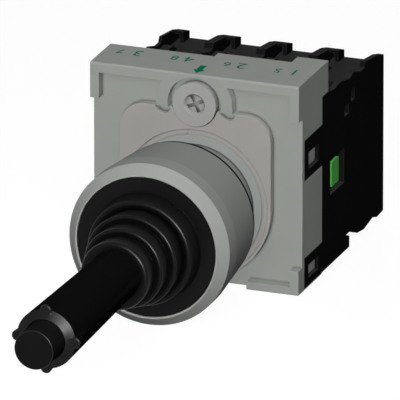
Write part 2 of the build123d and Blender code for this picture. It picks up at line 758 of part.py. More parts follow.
TAPPETS = {
    "tappet_left": ((-TAPPET_OFFSET, 0), (module_left(0) + PLUNGER_X, PLUNGER_Z)),
    "tappet_top": (
        (0, TAPPET_OFFSET),
        (module_left(1) + PLUNGER_X + TAPPET_ARM_SHIFT[0], PLUNGER_Z + TAPPET_ARM_SHIFT[1]),
    ),
    "tappet_bottom": (
        (0, -TAPPET_OFFSET),
        (module_left(2) + PLUNGER_X - TAPPET_ARM_SHIFT[0], PLUNGER_Z + TAPPET_ARM_SHIFT[1]),
    ),
    "tappet_right": ((TAPPET_OFFSET, 0), (module_left(3) + PLUNGER_X, PLUNGER_Z)),
}
TAPPET_FRONT = ROCKER_BACK + TAPPET_FREE_PLAY


def make_tappet(rod_at, end_at):
    """A bevelled rod along Y at one place with a flat arm at its rear end to another."""
    middle = ((rod_at[0] + end_at[0]) / 2, (rod_at[1] + end_at[1]) / 2)
    run = Vector(end_at[0] - rod_at[0], end_at[1] - rod_at[1])
    with BuildPart() as tappet:
        with BuildSketch(depth(TAPPET_FRONT)):
            with Locations(rod_at):
                Circle(TAPPET_R)
        extrude(amount=-(TAPPET_ARM_Y - TAPPET_FRONT))
        chamfer(tappet.edges().filter_by(GeomType.CIRCLE).sort_by(Axis.Y)[0], TAPPET_TIP_BEVEL)
        with BuildSketch(depth(TAPPET_ARM_Y)):
            with Locations(Location(middle, degrees(atan2(run.Y, run.X)))):
                SlotCenterToCenter(run.length, TAPPET_ARM_W)
            with Locations(rod_at, end_at):
                Circle(TAPPET_ARM_END_W / 2)
        extrude(amount=-TAPPET_ARM_T)
    return tappet


for tappet_name, (rod_place, arm_place) in TAPPETS.items():
    save(make_tappet(rod_place, arm_place), tappet_name)


# Contact modules
def module_outline(top_points):
    """The side outline of a module as (depth, height) corners, with the given top edge."""
    return (
        (HOLDER_BACK, MODULE_BOTTOM),
        (RIM_Y + 27.05, MODULE_BOTTOM),
        (RIM_Y + 27.05, -12.9),
        (RIM_Y + 25.4, -12.2),
        (RIM_Y + 27.15, -12.1),
        (RIM_Y + 31.25, -13.8),
        (MODULE_BACK - 10.3, -14.3),
        (MODULE_BACK - 5.65, -13.6),
        (MODULE_BACK - 3.35, -14.3),
        (MODULE_BACK, -14.1),
        *top_points,
    )


FRONT_TOP = (
    (RIM_Y + 27.15, 17.3),
    (RIM_Y + 21.5, 18.4),
    (RIM_Y + 18.95, 18.0),
    (DECK_START, TOP_EAR_BOTTOM - LOOSE_FIT),
    (HOLDER_BACK, TOP_EAR_BOTTOM - LOOSE_FIT),
)
WALL_TOP = (
    (MODULE_BACK, 16.0),
    (MODULE_BACK - 3.1, 16.9),
    (MODULE_BACK - 9.75, 17.8),
    (MODULE_BACK - 10.3, 16.8),
    (MODULE_BACK - 12.3, 16.8),
    (RIM_Y + 28.9, 17.95),
    *FRONT_TOP,
)
COVER_TOP = (
    (MODULE_BACK, 16.0),
    (MODULE_BACK - 3.1, 16.9),
    (MODULE_BACK - BLOCK_T, 16.9),
    (MODULE_BACK - BLOCK_T, DECK_Z),
    (MODULE_BACK - 6.6, DECK_Z),
    (MODULE_BACK - 8.6, 15.9),
    (MODULE_BACK - 14.1, 15.9),
    *FRONT_TOP,
)
DECK_TOP = (
    (MODULE_BACK, DECK_Z),
    (DECK_START, DECK_Z),
    (DECK_START, TOP_EAR_BOTTOM - LOOSE_FIT),
    (HOLDER_BACK, TOP_EAR_BOTTOM - LOOSE_FIT),
)
MODULE_INNER_FRONT = HOLDER_BACK + MODULE_WALL
MODULE_INNER_BACK = MODULE_BACK - MODULE_WALL
STRIP_Y = PLUNGER_BACK + BRIDGE_T + 2 * TIP_T + CONTACT_AIR_GAP
STRIP_BACK = STRIP_Y + STRIP_STEP + STRIP_T
TERMINALS = (
    (MODULE_CAVITY_TOP - TERMINAL_INSET, 1),
    (MODULE_CAVITY_BOTTOM + TERMINAL_INSET, -1),
)
LUG_ON_LEFT = [index < MODULE_COUNT / 2 for index in range(MODULE_COUNT)]


def outline_face(x, top_points):
    """The module outline as a face in the side plane at x."""
    with BuildSketch(Plane.YZ.offset(x)) as side:
        with BuildLine():
            Polyline(*module_outline(top_points), close=True)
        make_face()
    return side.sketch


def add_lugs(index, x):
    """Latch lugs with windows, beside the holder on an end module and inside on the others."""
    outermost = index in (0, MODULE_COUNT - 1)
    front = LUG_FRONT if outermost else CAVITY_Y + LOOSE_FIT
    for lug, window in lug_spans():
        bottom = lug[0] if outermost else max(lug[0], CAVITY_BOTTOM + LOOSE_FIT)
        add(box_between(x, (front, HOLDER_BACK), (bottom, lug[1])))
        add(
            box_between(
                (x[0] - CUT_OVER, x[1] + CUT_OVER), LUG_WINDOW_Y,
                (max(window[0], bottom + CATCH_EDGE - 2 * LOOSE_FIT), window[1]),
            ),
            mode=Mode.SUBTRACT,
        )


def make_cover(index):
    """The left side cover of a module: a skin as high as the housing's wall, a rear block with a
    post, and lugs on an outer side."""
    left = module_left(index) + MODULE_GAP / 2
    block_front = MODULE_BACK - BLOCK_T
    with BuildPart() as cover:
        extrude(outline_face(left, COVER_TOP), amount=COVER_T)
        extrude(outline_face(left, WALL_TOP), amount=COVER_SKIN)
        add(
            box_between(
                (left + COVER_SKIN, left + COVER_T - BLOCK_POST),
                (block_front - CUT_OVER, block_front + BLOCK_POCKET),
                (DECK_Z, BLOCK_POCKET_TOP),
            ),
            mode=Mode.SUBTRACT,
        )
        if LUG_ON_LEFT[index]:
            add_lugs(index, (left, left + LUG_T))
    return cover


def make_housing(index):
    """A module's main moulding: front wall with plunger hole, right wall, deck and rear."""
    left = module_left(index) + MODULE_GAP / 2 + COVER_T
    right = module_left(index) + MODULE_PITCH - MODULE_GAP / 2
    inner_right = right - MODULE_WALL
    plunger_x = module_left(index) + PLUNGER_X
    gap = LOOSE_FIT
    with BuildPart() as housing:
        extrude(outline_face(left, DECK_TOP), amount=right - left)
        extrude(outline_face(inner_right, WALL_TOP), amount=MODULE_WALL)
        add(
            box_between(
                (left - CUT_OVER, inner_right),
                (MODULE_INNER_FRONT, MODULE_INNER_BACK),
                (MODULE_CAVITY_BOTTOM, MODULE_CAVITY_TOP),
            ),
            mode=Mode.SUBTRACT,
        )
        add(
            box_between(
                (plunger_x - PLUNGER_W / 2 - gap, plunger_x + PLUNGER_W / 2 + gap),
                (HOLDER_BACK - CUT_OVER, MODULE_INNER_FRONT + CUT_OVER),
                (PLUNGER_Z - PLUNGER_H / 2 - gap, PLUNGER_Z + PLUNGER_H / 2 + gap),
            ),
            mode=Mode.SUBTRACT,
        )
        window_y = (
            FLAG_Y[0] - TAPPET_TRAVEL - WINDOW_MARGIN[0], FLAG_Y[1] + TAPPET_TRAVEL + WINDOW_MARGIN[1]
        )
        for y, z in ((window_y, STATE_WINDOW_Z), (SIDE_SLOT_Y, SIDE_SLOT_Z), (SIDE_PORT_Y, SIDE_PORT_Z)):
            add(box_between((inner_right - WINDOW_DEPTH, right + CUT_OVER), y, z), mode=Mode.SUBTRACT)
        for z, way in TERMINALS:
            with BuildSketch(depth(MODULE_BACK)):
                with Locations((plunger_x, z)):
                    Circle(TERMINAL_HEAD_R + 2 * LOOSE_FIT)
            extrude(amount=MODULE_WALL, mode=Mode.SUBTRACT)
            port_z = sorted((z + way * TERMINAL_INSET, way * HOLDER_TOP))
            add(
                box_between(
                    (plunger_x - WIRE_PORT_W / 2, plunger_x + WIRE_PORT_W / 2),
                    (STRIP_BACK + WASHER_T, STRIP_BACK + WASHER_T + WIRE_PORT_W),
                    port_z,
                ),
                mode=Mode.SUBTRACT,
            )
        with BuildSketch(depth(MODULE_INNER_BACK)):
            with Locations((plunger_x, PLUNGER_Z)):
                Circle(MODULE_POST_R)
        extrude(amount=MODULE_INNER_BACK - SPRING_BACK)
        if not LUG_ON_LEFT[index]:
            add_lugs(index, (right - LUG_T, right))
    return housing


def make_plunger(index):
    """The green plunger: a nose, a block in the front wall, a side flag and a spring neck."""
    x = module_left(index) + PLUNGER_X
    half_h = PLUNGER_H / 2
    flag_x = module_left(index) + MODULE_PITCH - MODULE_GAP / 2 - FLAG_SUNK
    height = (PLUNGER_Z - half_h, PLUNGER_Z + half_h)
    width = (x - PLUNGER_W / 2, x + PLUNGER_W / 2)
    with BuildPart() as plunger:
        add(box_between(width, (HOLDER_BACK, PLUNGER_BACK), height))
        add(box_between(width, (TAPPET_ARM_Y + TAPPET_ARM_T, HOLDER_BACK), (height[1] - NOSE_H, height[1])))
        add(box_between((x + PLUNGER_W / 2 - FLAG_ROOT, flag_x), (FLAG_Y[0], PLUNGER_BACK), height))
        add(box_between((flag_x - FLAG_T, flag_x), FLAG_Y, height))
        with BuildSketch(depth(PLUNGER_BACK)):
            with Locations((x, PLUNGER_Z)):
                Circle(PLUNGER_NECK_R)
        extrude(amount=-PLUNGER_NECK_LENGTH)
    return plunger


def make_bridge(index):
    """The moving contact bridge on the plunger's neck, with a contact tip near each end."""
    x = module_left(index) + PLUNGER_X
    with BuildPart() as bridge:
        with BuildSketch(depth(PLUNGER_BACK)):
            with Locations((x, PLUNGER_Z)):
                Rectangle(BRIDGE_W, 2 * (BRIDGE_SPAN + BRIDGE_OVERHANG))
                Circle(PLUNGER_NECK_R + LOOSE_FIT, mode=Mode.SUBTRACT)
        extrude(amount=-BRIDGE_T)
        with BuildSketch(depth(PLUNGER_BACK + BRIDGE_T)):
            with Locations((x, PLUNGER_Z + BRIDGE_SPAN), (x, PLUNGER_Z - BRIDGE_SPAN)):
                Rectangle(TIP_W, TIP_W)
        extrude(amount=-TIP_T)
    return bridge


def make_fixed_contacts(index):
    """Two stepped brass strips from the bridge's contact tips out to the terminal screws."""
    x = module_left(index) + PLUNGER_X
    with BuildPart() as contacts:
        for z, way in TERMINALS:
            contact_z = PLUNGER_Z + way * BRIDGE_SPAN
            start, end = contact_z - way * STRIP_LAP, z + way * (TERMINAL_INSET - STRIP_INSET)
            knee = contact_z + way * STRIP_KNEE
            with BuildSketch(Plane.YZ.offset(x - BRIDGE_W / 2)):
                with BuildLine():
                    Polyline(
                        (STRIP_Y, start),
                        (STRIP_Y, knee),
                        (STRIP_Y + STRIP_STEP, knee),
                        (STRIP_Y + STRIP_STEP, end),
                        (STRIP_BACK, end),
                        (STRIP_BACK, knee - way * STRIP_T),
                        (STRIP_Y + STRIP_T, knee - way * STRIP_T),
                        (STRIP_Y + STRIP_T, start),
                        close=True,
                    )
                make_face()
            extrude(amount=BRIDGE_W)
            with BuildSketch(depth(STRIP_Y)):
                with Locations((x, contact_z)):
                    Rectangle(TIP_W, TIP_W)
            extrude(amount=TIP_T)
            with BuildSketch(depth(STRIP_BACK)):
                with Locations((x, z)):
                    Circle(TERMINAL_SCREW_R + FIT)
            extrude(amount=STRIP_T + CUT_OVER, mode=Mode.SUBTRACT)
    return contacts


def make_terminal_screws(index):
    """Two slotted screws that reach through the clamp washers into the strips."""
    x = module_left(index) + PLUNGER_X
    head = STRIP_BACK + WASHER_T + WIRE_GAP
    with BuildPart() as screws:
        for z, _ in TERMINALS:
            with BuildSketch(depth(STRIP_BACK - STRIP_T - TERMINAL_POINT)):
                with Locations((x, z)):
                    Circle(TERMINAL_SCREW_R)
            extrude(amount=-(head - STRIP_BACK + STRIP_T + TERMINAL_POINT))
            with BuildSketch(depth(head)):
                with Locations((x, z)):
                    Circle(TERMINAL_HEAD_R)
            extrude(amount=-TERMINAL_HEAD_T)
            with BuildSketch(depth(head + TERMINAL_HEAD_T)):
                with Locations((x, z)):
                    Rectangle(2 * TERMINAL_HEAD_R, DRIVE_SLOT_W)
            extrude(amount=DRIVE_DEPTH / 2, mode=Mode.SUBTRACT)
    return screws


def make_clamp_washers(index):
    """Two square washers that press the wires onto the strips."""
    x = module_left(index) + PLUNGER_X
    with BuildPart() as washers:
        for z, _ in TERMINALS:
            with BuildSketch(depth(STRIP_BACK)):
                with Locations((x, z)):
                    Rectangle(WASHER_SIZE, WASHER_SIZE)
                    Circle(TERMINAL_SCREW_R + FIT, mode=Mode.SUBTRACT)
            extrude(amount=-WASHER_T)
    return washers


SPRING_FRONT = PLUNGER_BACK + BRIDGE_T
SPRING_BACK = SPRING_FRONT + PLUNGER_NECK_LENGTH + TAPPET_TRAVEL + 1.0
for module in range(MODULE_COUNT):
    number = module + 1
    save(make_cover(module), f"module_cover_{number}")
    save(make_housing(module), f"module_housing_{number}")
    save(make_plunger(module), f"plunger_{number}")
    save(make_bridge(module), f"contact_bridge_{number}")
    save(make_fixed_contacts(module), f"fixed_contacts_{number}")
    save(make_terminal_screws(module), f"terminal_screws_{number}")
    save(make_clamp_washers(module), f"clamp_washers_{number}")
    coil = make_spring(
        SPRING_FRONT + FIT, SPRING_BACK - FIT, MODULE_SPRING_R, MODULE_SPRING_R,
        MODULE_SPRING_WIRE, MODULE_SPRING_TURNS, (module_left(module) + PLUNGER_X, PLUNGER_Z),
    )
    save(coil, f"module_spring_{number}")
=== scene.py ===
# %% [markdown]
# # A panel joystick with four contact modules
# The real object is a lever switch that is clamped in a panel. A metal ring and a rubber boot
# stand in front of the panel, and a die-cast holder with black contact modules stands behind it.
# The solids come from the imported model, which is the fixed frame here. This script gives them
# their finish, and it makes the turned, moulded and printed pieces that need finer surfaces.

# %% Load the frame
import json
import math

import bpy
import numpy as np
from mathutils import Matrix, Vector


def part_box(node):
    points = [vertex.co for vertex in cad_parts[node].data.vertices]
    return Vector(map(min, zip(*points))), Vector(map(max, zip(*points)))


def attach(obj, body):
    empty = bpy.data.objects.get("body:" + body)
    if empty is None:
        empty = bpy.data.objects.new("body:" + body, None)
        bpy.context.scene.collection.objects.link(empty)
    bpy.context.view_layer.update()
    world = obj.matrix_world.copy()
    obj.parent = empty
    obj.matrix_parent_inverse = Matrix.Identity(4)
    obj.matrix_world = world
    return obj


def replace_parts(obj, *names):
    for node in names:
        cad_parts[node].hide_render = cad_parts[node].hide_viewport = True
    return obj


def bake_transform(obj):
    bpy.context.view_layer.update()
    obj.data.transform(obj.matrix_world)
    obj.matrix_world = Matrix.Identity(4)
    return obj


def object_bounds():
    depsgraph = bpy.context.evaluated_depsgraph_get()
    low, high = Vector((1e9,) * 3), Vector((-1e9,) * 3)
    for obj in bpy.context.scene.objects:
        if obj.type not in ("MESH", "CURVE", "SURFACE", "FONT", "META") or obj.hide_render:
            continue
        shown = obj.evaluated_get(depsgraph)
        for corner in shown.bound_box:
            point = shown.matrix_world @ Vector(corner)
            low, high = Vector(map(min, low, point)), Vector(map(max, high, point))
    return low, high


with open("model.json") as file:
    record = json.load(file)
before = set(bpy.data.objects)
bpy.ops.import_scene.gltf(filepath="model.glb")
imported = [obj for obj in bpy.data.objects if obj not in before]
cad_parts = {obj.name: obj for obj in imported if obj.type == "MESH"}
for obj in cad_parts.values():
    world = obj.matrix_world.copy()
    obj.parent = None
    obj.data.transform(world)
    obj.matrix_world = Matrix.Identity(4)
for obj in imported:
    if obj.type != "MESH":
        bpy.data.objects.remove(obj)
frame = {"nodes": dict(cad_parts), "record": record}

MM = 0.001
scene = bpy.context.scene


def add_object(name, data):
    """A new object in the scene that shows the given data."""
    made = bpy.data.objects.new(name, data)
    scene.collection.objects.link(made)
    return made


cad_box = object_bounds()
print("CAD box in mm:", [[round(v / MM, 1) for v in corner] for corner in cad_box])

# %% [markdown]
# ## Camera
# The photograph is a product picture from far away, so lines that are parallel on the object stay
# nearly parallel in it. A long lens on a distant camera gives that look. The camera stands 20
# degrees to the right of the joystick's axis and 20 degrees above it, and aims at a point that is
# given along its own right and up directions, so that the framing can be tuned by itself. The
# frame's width is measured a little in front of that point, where the handle and the bezel are.

# %% Camera
AZIMUTH = math.radians(20.41)
ELEVATION = math.radians(19.92)
LENS = 1500
SENSOR = 36
FRAME_WIDTH = 71.45 * MM
WIDTH_DEPTH = 15.7 * MM
AIM_RIGHT = 3.358 * MM
AIM_UP = 2.714 * MM

level_way = Vector((math.sin(AZIMUTH), -math.cos(AZIMUTH), 0))
to_camera = level_way * math.cos(ELEVATION) + Vector((0, 0, math.sin(ELEVATION)))
view_right = Vector((math.cos(AZIMUTH), math.sin(AZIMUTH), 0))
view_up = to_camera.cross(view_right)
aim = view_right * AIM_RIGHT + view_up * AIM_UP
distance = FRAME_WIDTH * LENS / SENSOR + WIDTH_DEPTH

camera_data = bpy.data.cameras.new("camera")
camera_data.lens = LENS
camera_data.sensor_width = SENSOR
camera_data.clip_start = 0.1
camera_data.clip_end = 100
camera = add_object("camera", camera_data)
camera.location = aim + to_camera * distance
camera.rotation_mode = "QUATERNION"
camera.rotation_quaternion = (-to_camera).to_track_quat("-Z", "Y")
bpy.context.scene.camera = camera
print("camera", round(distance, 3), "m away")

# %% [markdown]
# ## Helpers for node trees
# The world, the floor and every finish are small graphs of nodes. Three helpers keep the cells
# short: one adds a node with its settings, one does a sum on two values, and one starts a material.


# %% Node helpers
def add_node(tree, kind, **settings):
    """Adds a node. A setting whose name is a property of the node sets that. Any other is for the
    input of its name: a socket is linked to that input, and a plain value is written into it."""
    made = tree.nodes.new(kind)
    for name, value in settings.items():
        title = name.replace("_", " ").title()
        if hasattr(made, name):
            setattr(made, name, value)
        elif isinstance(value, bpy.types.NodeSocket):
            tree.links.new(value, made.inputs[title])
        else:
            made.inputs[title].default_value = value
    return made


def math_node(tree, operation, first, second):
    """A Math node on two values, each a socket or a plain number; returns its output."""
    made = add_node(tree, "ShaderNodeMath", operation=operation)
    for i, value in enumerate((first, second)):
        if isinstance(value, (int, float)):
            made.inputs[i].default_value = value
        else:
            tree.links.new(value, made.inputs[i])
    return made.outputs[0]


def new_material(name, color, roughness, metallic=0.0, specular=0.0):
    """A material with a Principled shader whose plain values are set, and its node tree."""
    made = bpy.data.materials.new(name)
    made.use_nodes = True
    shader = made.node_tree.nodes["Principled BSDF"]
    shader.inputs["Base Color"].default_value = (*color, 1)
    shader.inputs["Roughness"].default_value = roughness
    shader.inputs["Metallic"].default_value = metallic
    shader.inputs["Specular IOR Level"].default_value = specular
    return made, made.node_tree, shader


print("ready: add_node, math_node, new_material")

# %% [markdown]
# ## Light and floor
# A studio picture of a catalogue part has one large light from above the front, and so much light
# from the white room that its shadows nearly vanish. Here two square lamps stand in one place.
# One casts no shadow and gives most of the light, and one is large and casts the soft shadow that
# the floor needs. A lamp further to the right gives only gleams, so that black rubber can shine on
# its folds and still be black. A lamp behind the object, which gives plain light and no gleams,
# keeps the back from going black in other views.

# %% Lamps
scene.view_settings.view_transform = "Standard"
KEY_WAY = (0.232, -0.770, 0.565)
GLEAM_WAY = (0.513, -0.804, 0.293)
BACK_WAY = (-0.5, 0.86, 0.05)
LAMP_REACH = 1.0


def lamp(name, direction, size, level, shadow=True, lit="all"):
    """A square lamp that looks at the origin. Its power is set so that a white surface that
    faces it is as bright as level: pi squared times the distance squared times level. lit says
    whether it gives all of its light, only gleams, or only plain light without gleams."""
    data = bpy.data.lights.new(name, "AREA")
    data.shape = "SQUARE"
    data.size = size
    data.energy = level * math.pi**2 * LAMP_REACH**2
    data.use_shadow = shadow
    found = add_object(name, data)
    way = Vector(direction).normalized()
    found.location = way * LAMP_REACH
    found.rotation_mode = "QUATERNION"
    found.rotation_quaternion = (-way).to_track_quat("-Z", "Y")
    found.visible_diffuse = lit != "gleams"
    found.visible_glossy = lit != "plain"
    return found


lamps = [
    lamp("key_lamp", KEY_WAY, size=0.22, level=0.93, shadow=False),
    lamp("shadow_lamp", KEY_WAY, size=0.55, level=0.28),
    lamp("gleam_lamp", GLEAM_WAY, size=0.24, level=4.6, shadow=False, lit="gleams"),
    lamp("back_lamp", BACK_WAY, size=0.6, level=1.0, lit="plain"),
]
print("lamps in watts:", [(one.name, round(one.data.energy, 2)) for one in lamps])

# %% [markdown]
# ### World
# The world is dim, so that the shaded sides stay dark. It is white only to the camera and to
# reflections, which Light Path tells apart, and that makes the background white.

# %% World
AMBIENT = 0.02


def white_for_view(tree):
    """A value that is 1 for rays from the camera, from reflections and through glass, else 0."""
    path = tree.nodes.new("ShaderNodeLightPath")
    seen = math_node(tree, "MAXIMUM", path.outputs["Is Camera Ray"], path.outputs["Is Glossy Ray"])
    return math_node(tree, "MAXIMUM", seen, path.outputs["Is Transmission Ray"])


world = bpy.data.worlds.new("studio")
scene.world = world
world.use_nodes = True
sky = world.node_tree
background = sky.nodes["Background"]
background.inputs["Color"].default_value = (1, 1, 1, 1)
sky_level = add_node(
    sky, "ShaderNodeMapRange", value=white_for_view(sky), to_min=AMBIENT, to_max=1.0
)
sky.links.new(sky_level.outputs["Result"], background.inputs["Strength"])
print("world:", AMBIENT, "as light on the object and 1 in the view")

# %% [markdown]
# ### Floor
# A plain square just under the object takes its shadow. It glows for the camera and for
# reflections, which makes it white there, and it sends little light up at the object.

# %% Floor
FLOOR_SIZE = 1.6
FLOOR_COLOR = 0.22
FLOOR_GLOW = 0.84
FLOOR_GAP = 0.1 * MM

half = FLOOR_SIZE / 2
floor_z = cad_box[0].z - FLOOR_GAP
floor_plan = ((-half, -half), (half, -half), (half, half), (-half, half))
floor_mesh = bpy.data.meshes.new("floor")
floor_mesh.from_pydata([(x, y, floor_z) for x, y in floor_plan], [], [(0, 1, 2, 3)])
floor = add_object("floor", floor_mesh)
grey = (FLOOR_COLOR,) * 3
floor_material, floor_tree, floor_shader = new_material("pale_floor", grey, roughness=0.9)
floor_shader.inputs["Emission Color"].default_value = (1, 1, 1, 1)
glow = math_node(floor_tree, "MULTIPLY", white_for_view(floor_tree), FLOOR_GLOW)
floor_tree.links.new(glow, floor_shader.inputs["Emission Strength"])
floor_mesh.materials.append(floor_material)
print("floor at", round(floor_z / MM, 2), "mm")

# %% [markdown]
# ## Finishes
# The object has three kinds of surface: satin metal, moulded black plastic and rubber. All get
# small changes of tone and a fine grain, because a single flat colour looks like a toy. Grain, edge
# wear, turning marks and painted shade in gaps are each needed by more than one finish, so each is a
# node group: it is built once, and every material places it with its own values.

# %% Helpers for node groups
NUMBER = "NodeSocketFloat"


def new_group(name, inputs, outputs):
    """A shader node group whose sockets are numbers: inputs gives their names and first values,
    and outputs their names. Returns the group with its input and output nodes."""
    group = bpy.data.node_groups.new(name, "ShaderNodeTree")
    for socket, value in inputs.items():
        made = group.interface.new_socket(socket, in_out="INPUT", socket_type=NUMBER)
        made.default_value = value
    for socket in outputs:
        group.interface.new_socket(socket, in_out="OUTPUT", socket_type=NUMBER)
    return group, group.nodes.new("NodeGroupInput"), group.nodes.new("NodeGroupOutput")


def axis_place(tree):
    """Sockets for the distance from the joystick's axis and for the place along it, in metres."""
    place = tree.nodes.new("ShaderNodeTexCoord")
    parts = add_node(tree, "ShaderNodeSeparateXYZ", vector=place.outputs["Object"])
    squares = [math_node(tree, "POWER", parts.outputs[i], 2.0) for i in (0, 2)]
    return math_node(tree, "SQRT", math_node(tree, "ADD", *squares), 0.0), parts.outputs[1]


print("ready: new_group, axis_place")

# %% [markdown]
# ### Mould grain
# A mould is spark-eroded or blasted, and its fine grain is printed into the plastic or the casting.
# Noise gives the pits, and small cells give the texture of the tool. A second, slow noise makes
# patches that are a little lighter or darker, as on any surface that has been handled.

# %% Grain group
MOTTLE_SCALE = 160
MOTTLE_DETAIL = 3
PIT_DETAIL = 2


def make_grain_group():
    """Height is the weighted sum of a fine noise and of the distance to the nearest point of small
    cells. Tone is a slow noise between 0 and 1."""
    inputs = {"Grain Size": 0.3, "Cell Share": 0.4}
    group, given, put = new_group("mould_grain", inputs, ["Height", "Tone"])
    here = group.nodes.new("ShaderNodeTexCoord").outputs["Object"]
    scale = math_node(group, "DIVIDE", 1 / MM, given.outputs["Grain Size"])
    pits = add_node(group, "ShaderNodeTexNoise", vector=here, scale=scale, detail=PIT_DETAIL)
    cells = add_node(group, "ShaderNodeTexVoronoi", vector=here, scale=scale)
    height = add_node(group, "ShaderNodeMix", data_type="FLOAT")
    group.links.new(given.outputs["Cell Share"], height.inputs[0])
    group.links.new(pits.outputs["Fac"], height.inputs[2])
    group.links.new(cells.outputs["Distance"], height.inputs[3])
    group.links.new(height.outputs[0], put.inputs["Height"])
    slow = {"scale": MOTTLE_SCALE, "detail": MOTTLE_DETAIL}
    mottle = add_node(group, "ShaderNodeTexNoise", vector=here, **slow)
    group.links.new(mottle.outputs["Fac"], put.inputs["Tone"])
    return group


grain_group = make_grain_group()
print("grain group:", len(grain_group.nodes), "nodes")

# %% [markdown]
# ### Edge wear
# Edges are touched and rubbed first. The Bevel node gives the normal that a rounded edge would
# have. Where that leans away from the true normal there is an edge, with no mask to paint.

# %% Edge group
PATCH_SCALE = 700
WEAR_GAIN = 4.0


def make_edge_group():
    """Wear is 1 less the dot product of the rounded and the true normal, times a noise that breaks
    it up, times a gain, so that it is 0 on flats and up to 1 on edges."""
    inputs = {"Edge Width": 0.2 * MM, "Amount": 1.0}
    group, given, put = new_group("edge_wear", inputs, ["Wear"])
    width = given.outputs["Edge Width"]
    bevelled = add_node(group, "ShaderNodeBevel", samples=4, radius=width)
    true = group.nodes.new("ShaderNodeNewGeometry")
    lean = add_node(group, "ShaderNodeVectorMath", operation="DOT_PRODUCT")
    group.links.new(bevelled.outputs["Normal"], lean.inputs[0])
    group.links.new(true.outputs["Normal"], lean.inputs[1])
    edge = math_node(group, "SUBTRACT", 1.0, lean.outputs["Value"])
    here = group.nodes.new("ShaderNodeTexCoord").outputs["Object"]
    patches = add_node(group, "ShaderNodeTexNoise", vector=here, scale=PATCH_SCALE)
    broken = math_node(group, "MULTIPLY", edge, patches.outputs["Fac"])
    strong = math_node(group, "MULTIPLY", broken, WEAR_GAIN)
    wear = math_node(group, "MULTIPLY", strong, given.outputs["Amount"])
    held = add_node(group, "ShaderNodeClamp", value=wear)
    group.links.new(held.outputs[0], put.inputs["Wear"])
    return group


edge_group = make_edge_group()
print("edge group:", len(edge_group.nodes), "nodes")

# %% [markdown]
# ### Turning marks
# A lathe leaves fine rings on the metal. They run round the joystick's axis, so their height
# depends only on the distance from that axis and on the place along it.


# %% Turning group
def make_turning_group():
    """Height is a noise in one dimension. Its coordinate is the distance from the Y axis plus the
    distance along it, divided by the pitch, so that each cut gets its own line."""
    group, given, put = new_group("turning_marks", {"Pitch": 0.12}, ["Height"])
    travel = math_node(group, "ADD", *axis_place(group))
    in_mm = math_node(group, "MULTIPLY", travel, 1 / MM)
    rings = math_node(group, "DIVIDE", in_mm, given.outputs["Pitch"])
    noise = add_node(group, "ShaderNodeTexNoise", noise_dimensions="1D", w=rings, scale=1.0)
    group.links.new(noise.outputs["Fac"], put.inputs["Height"])
    return group


turning_group = make_turning_group()
print("turning group:", len(turning_group.nodes), "nodes")

# %% [markdown]
# ### Painted shade in gaps
# Gaps and inner corners are darkened in the colour itself. This is painted shade: it stands in for
# the soft shadow that gathers there, and it draws the dark lines by which the eye tells one piece
# from the next. Ambient occlusion measures how much of the view from a point is closed off.


# %% Painted shade group
def make_painted_shade_group():
    """Mask is the share of the directions over the surface that meet something within Reach, times
    Gain, held at 1. It is painted shade, by which a finish darkens its colour in gaps and corners."""
    group, given, put = new_group("painted_shades", {"Reach": 0.5 * MM, "Gain": 1.0}, ["Mask"])
    reach = given.outputs["Reach"]
    open_sky = add_node(group, "ShaderNodeAmbientOcclusion", samples=8, distance=reach)
    blocked = math_node(group, "SUBTRACT", 1.0, open_sky.outputs["AO"])
    mask = math_node(group, "MULTIPLY", blocked, given.outputs["Gain"])
    held = add_node(group, "ShaderNodeClamp", value=mask)
    group.links.new(held.outputs[0], put.inputs["Mask"])
    return group


painted_shade_group = make_painted_shade_group()
print("crevice group:", len(painted_shade_group.nodes), "nodes")

# %% [markdown]
# ### One builder for every finish
# One function makes every finish, because they share the same build: the mottling mixes a darker
# and a lighter tone, worn edges shift that towards the bare material, painted shade darkens gaps and
# corners, and the grain goes through a Bump node into the normal.

# %% Finish builder
CELL_SHARE = 0.4
EDGE_WIDTH = 0.2 * MM
# How dark the painted shade in gaps and corners makes a colour.
PAINTED_SHADE_TONE = 0.12
ROUGHNESS_SPREAD = 0.05


def place_group(tree, group, **values):
    """Puts a node group in a material and sets its inputs by name."""
    return add_node(tree, "ShaderNodeGroup", node_tree=group, **values)


def mix_color(tree, factor, first, second, blend="MIX"):
    """A colour mix; factor is a socket, and each colour a socket or three numbers."""
    made = add_node(tree, "ShaderNodeMix", data_type="RGBA", blend_type=blend)
    tree.links.new(factor, made.inputs[0])
    for i, value in ((6, first), (7, second)):
        if isinstance(value, tuple):
            made.inputs[i].default_value = (*value, 1)
        else:
            tree.links.new(value, made.inputs[i])
    return made.outputs[2]


def shade(color, factor):
    """A colour made lighter or darker by one factor."""
    return tuple(min(1.0, part * factor) for part in color)


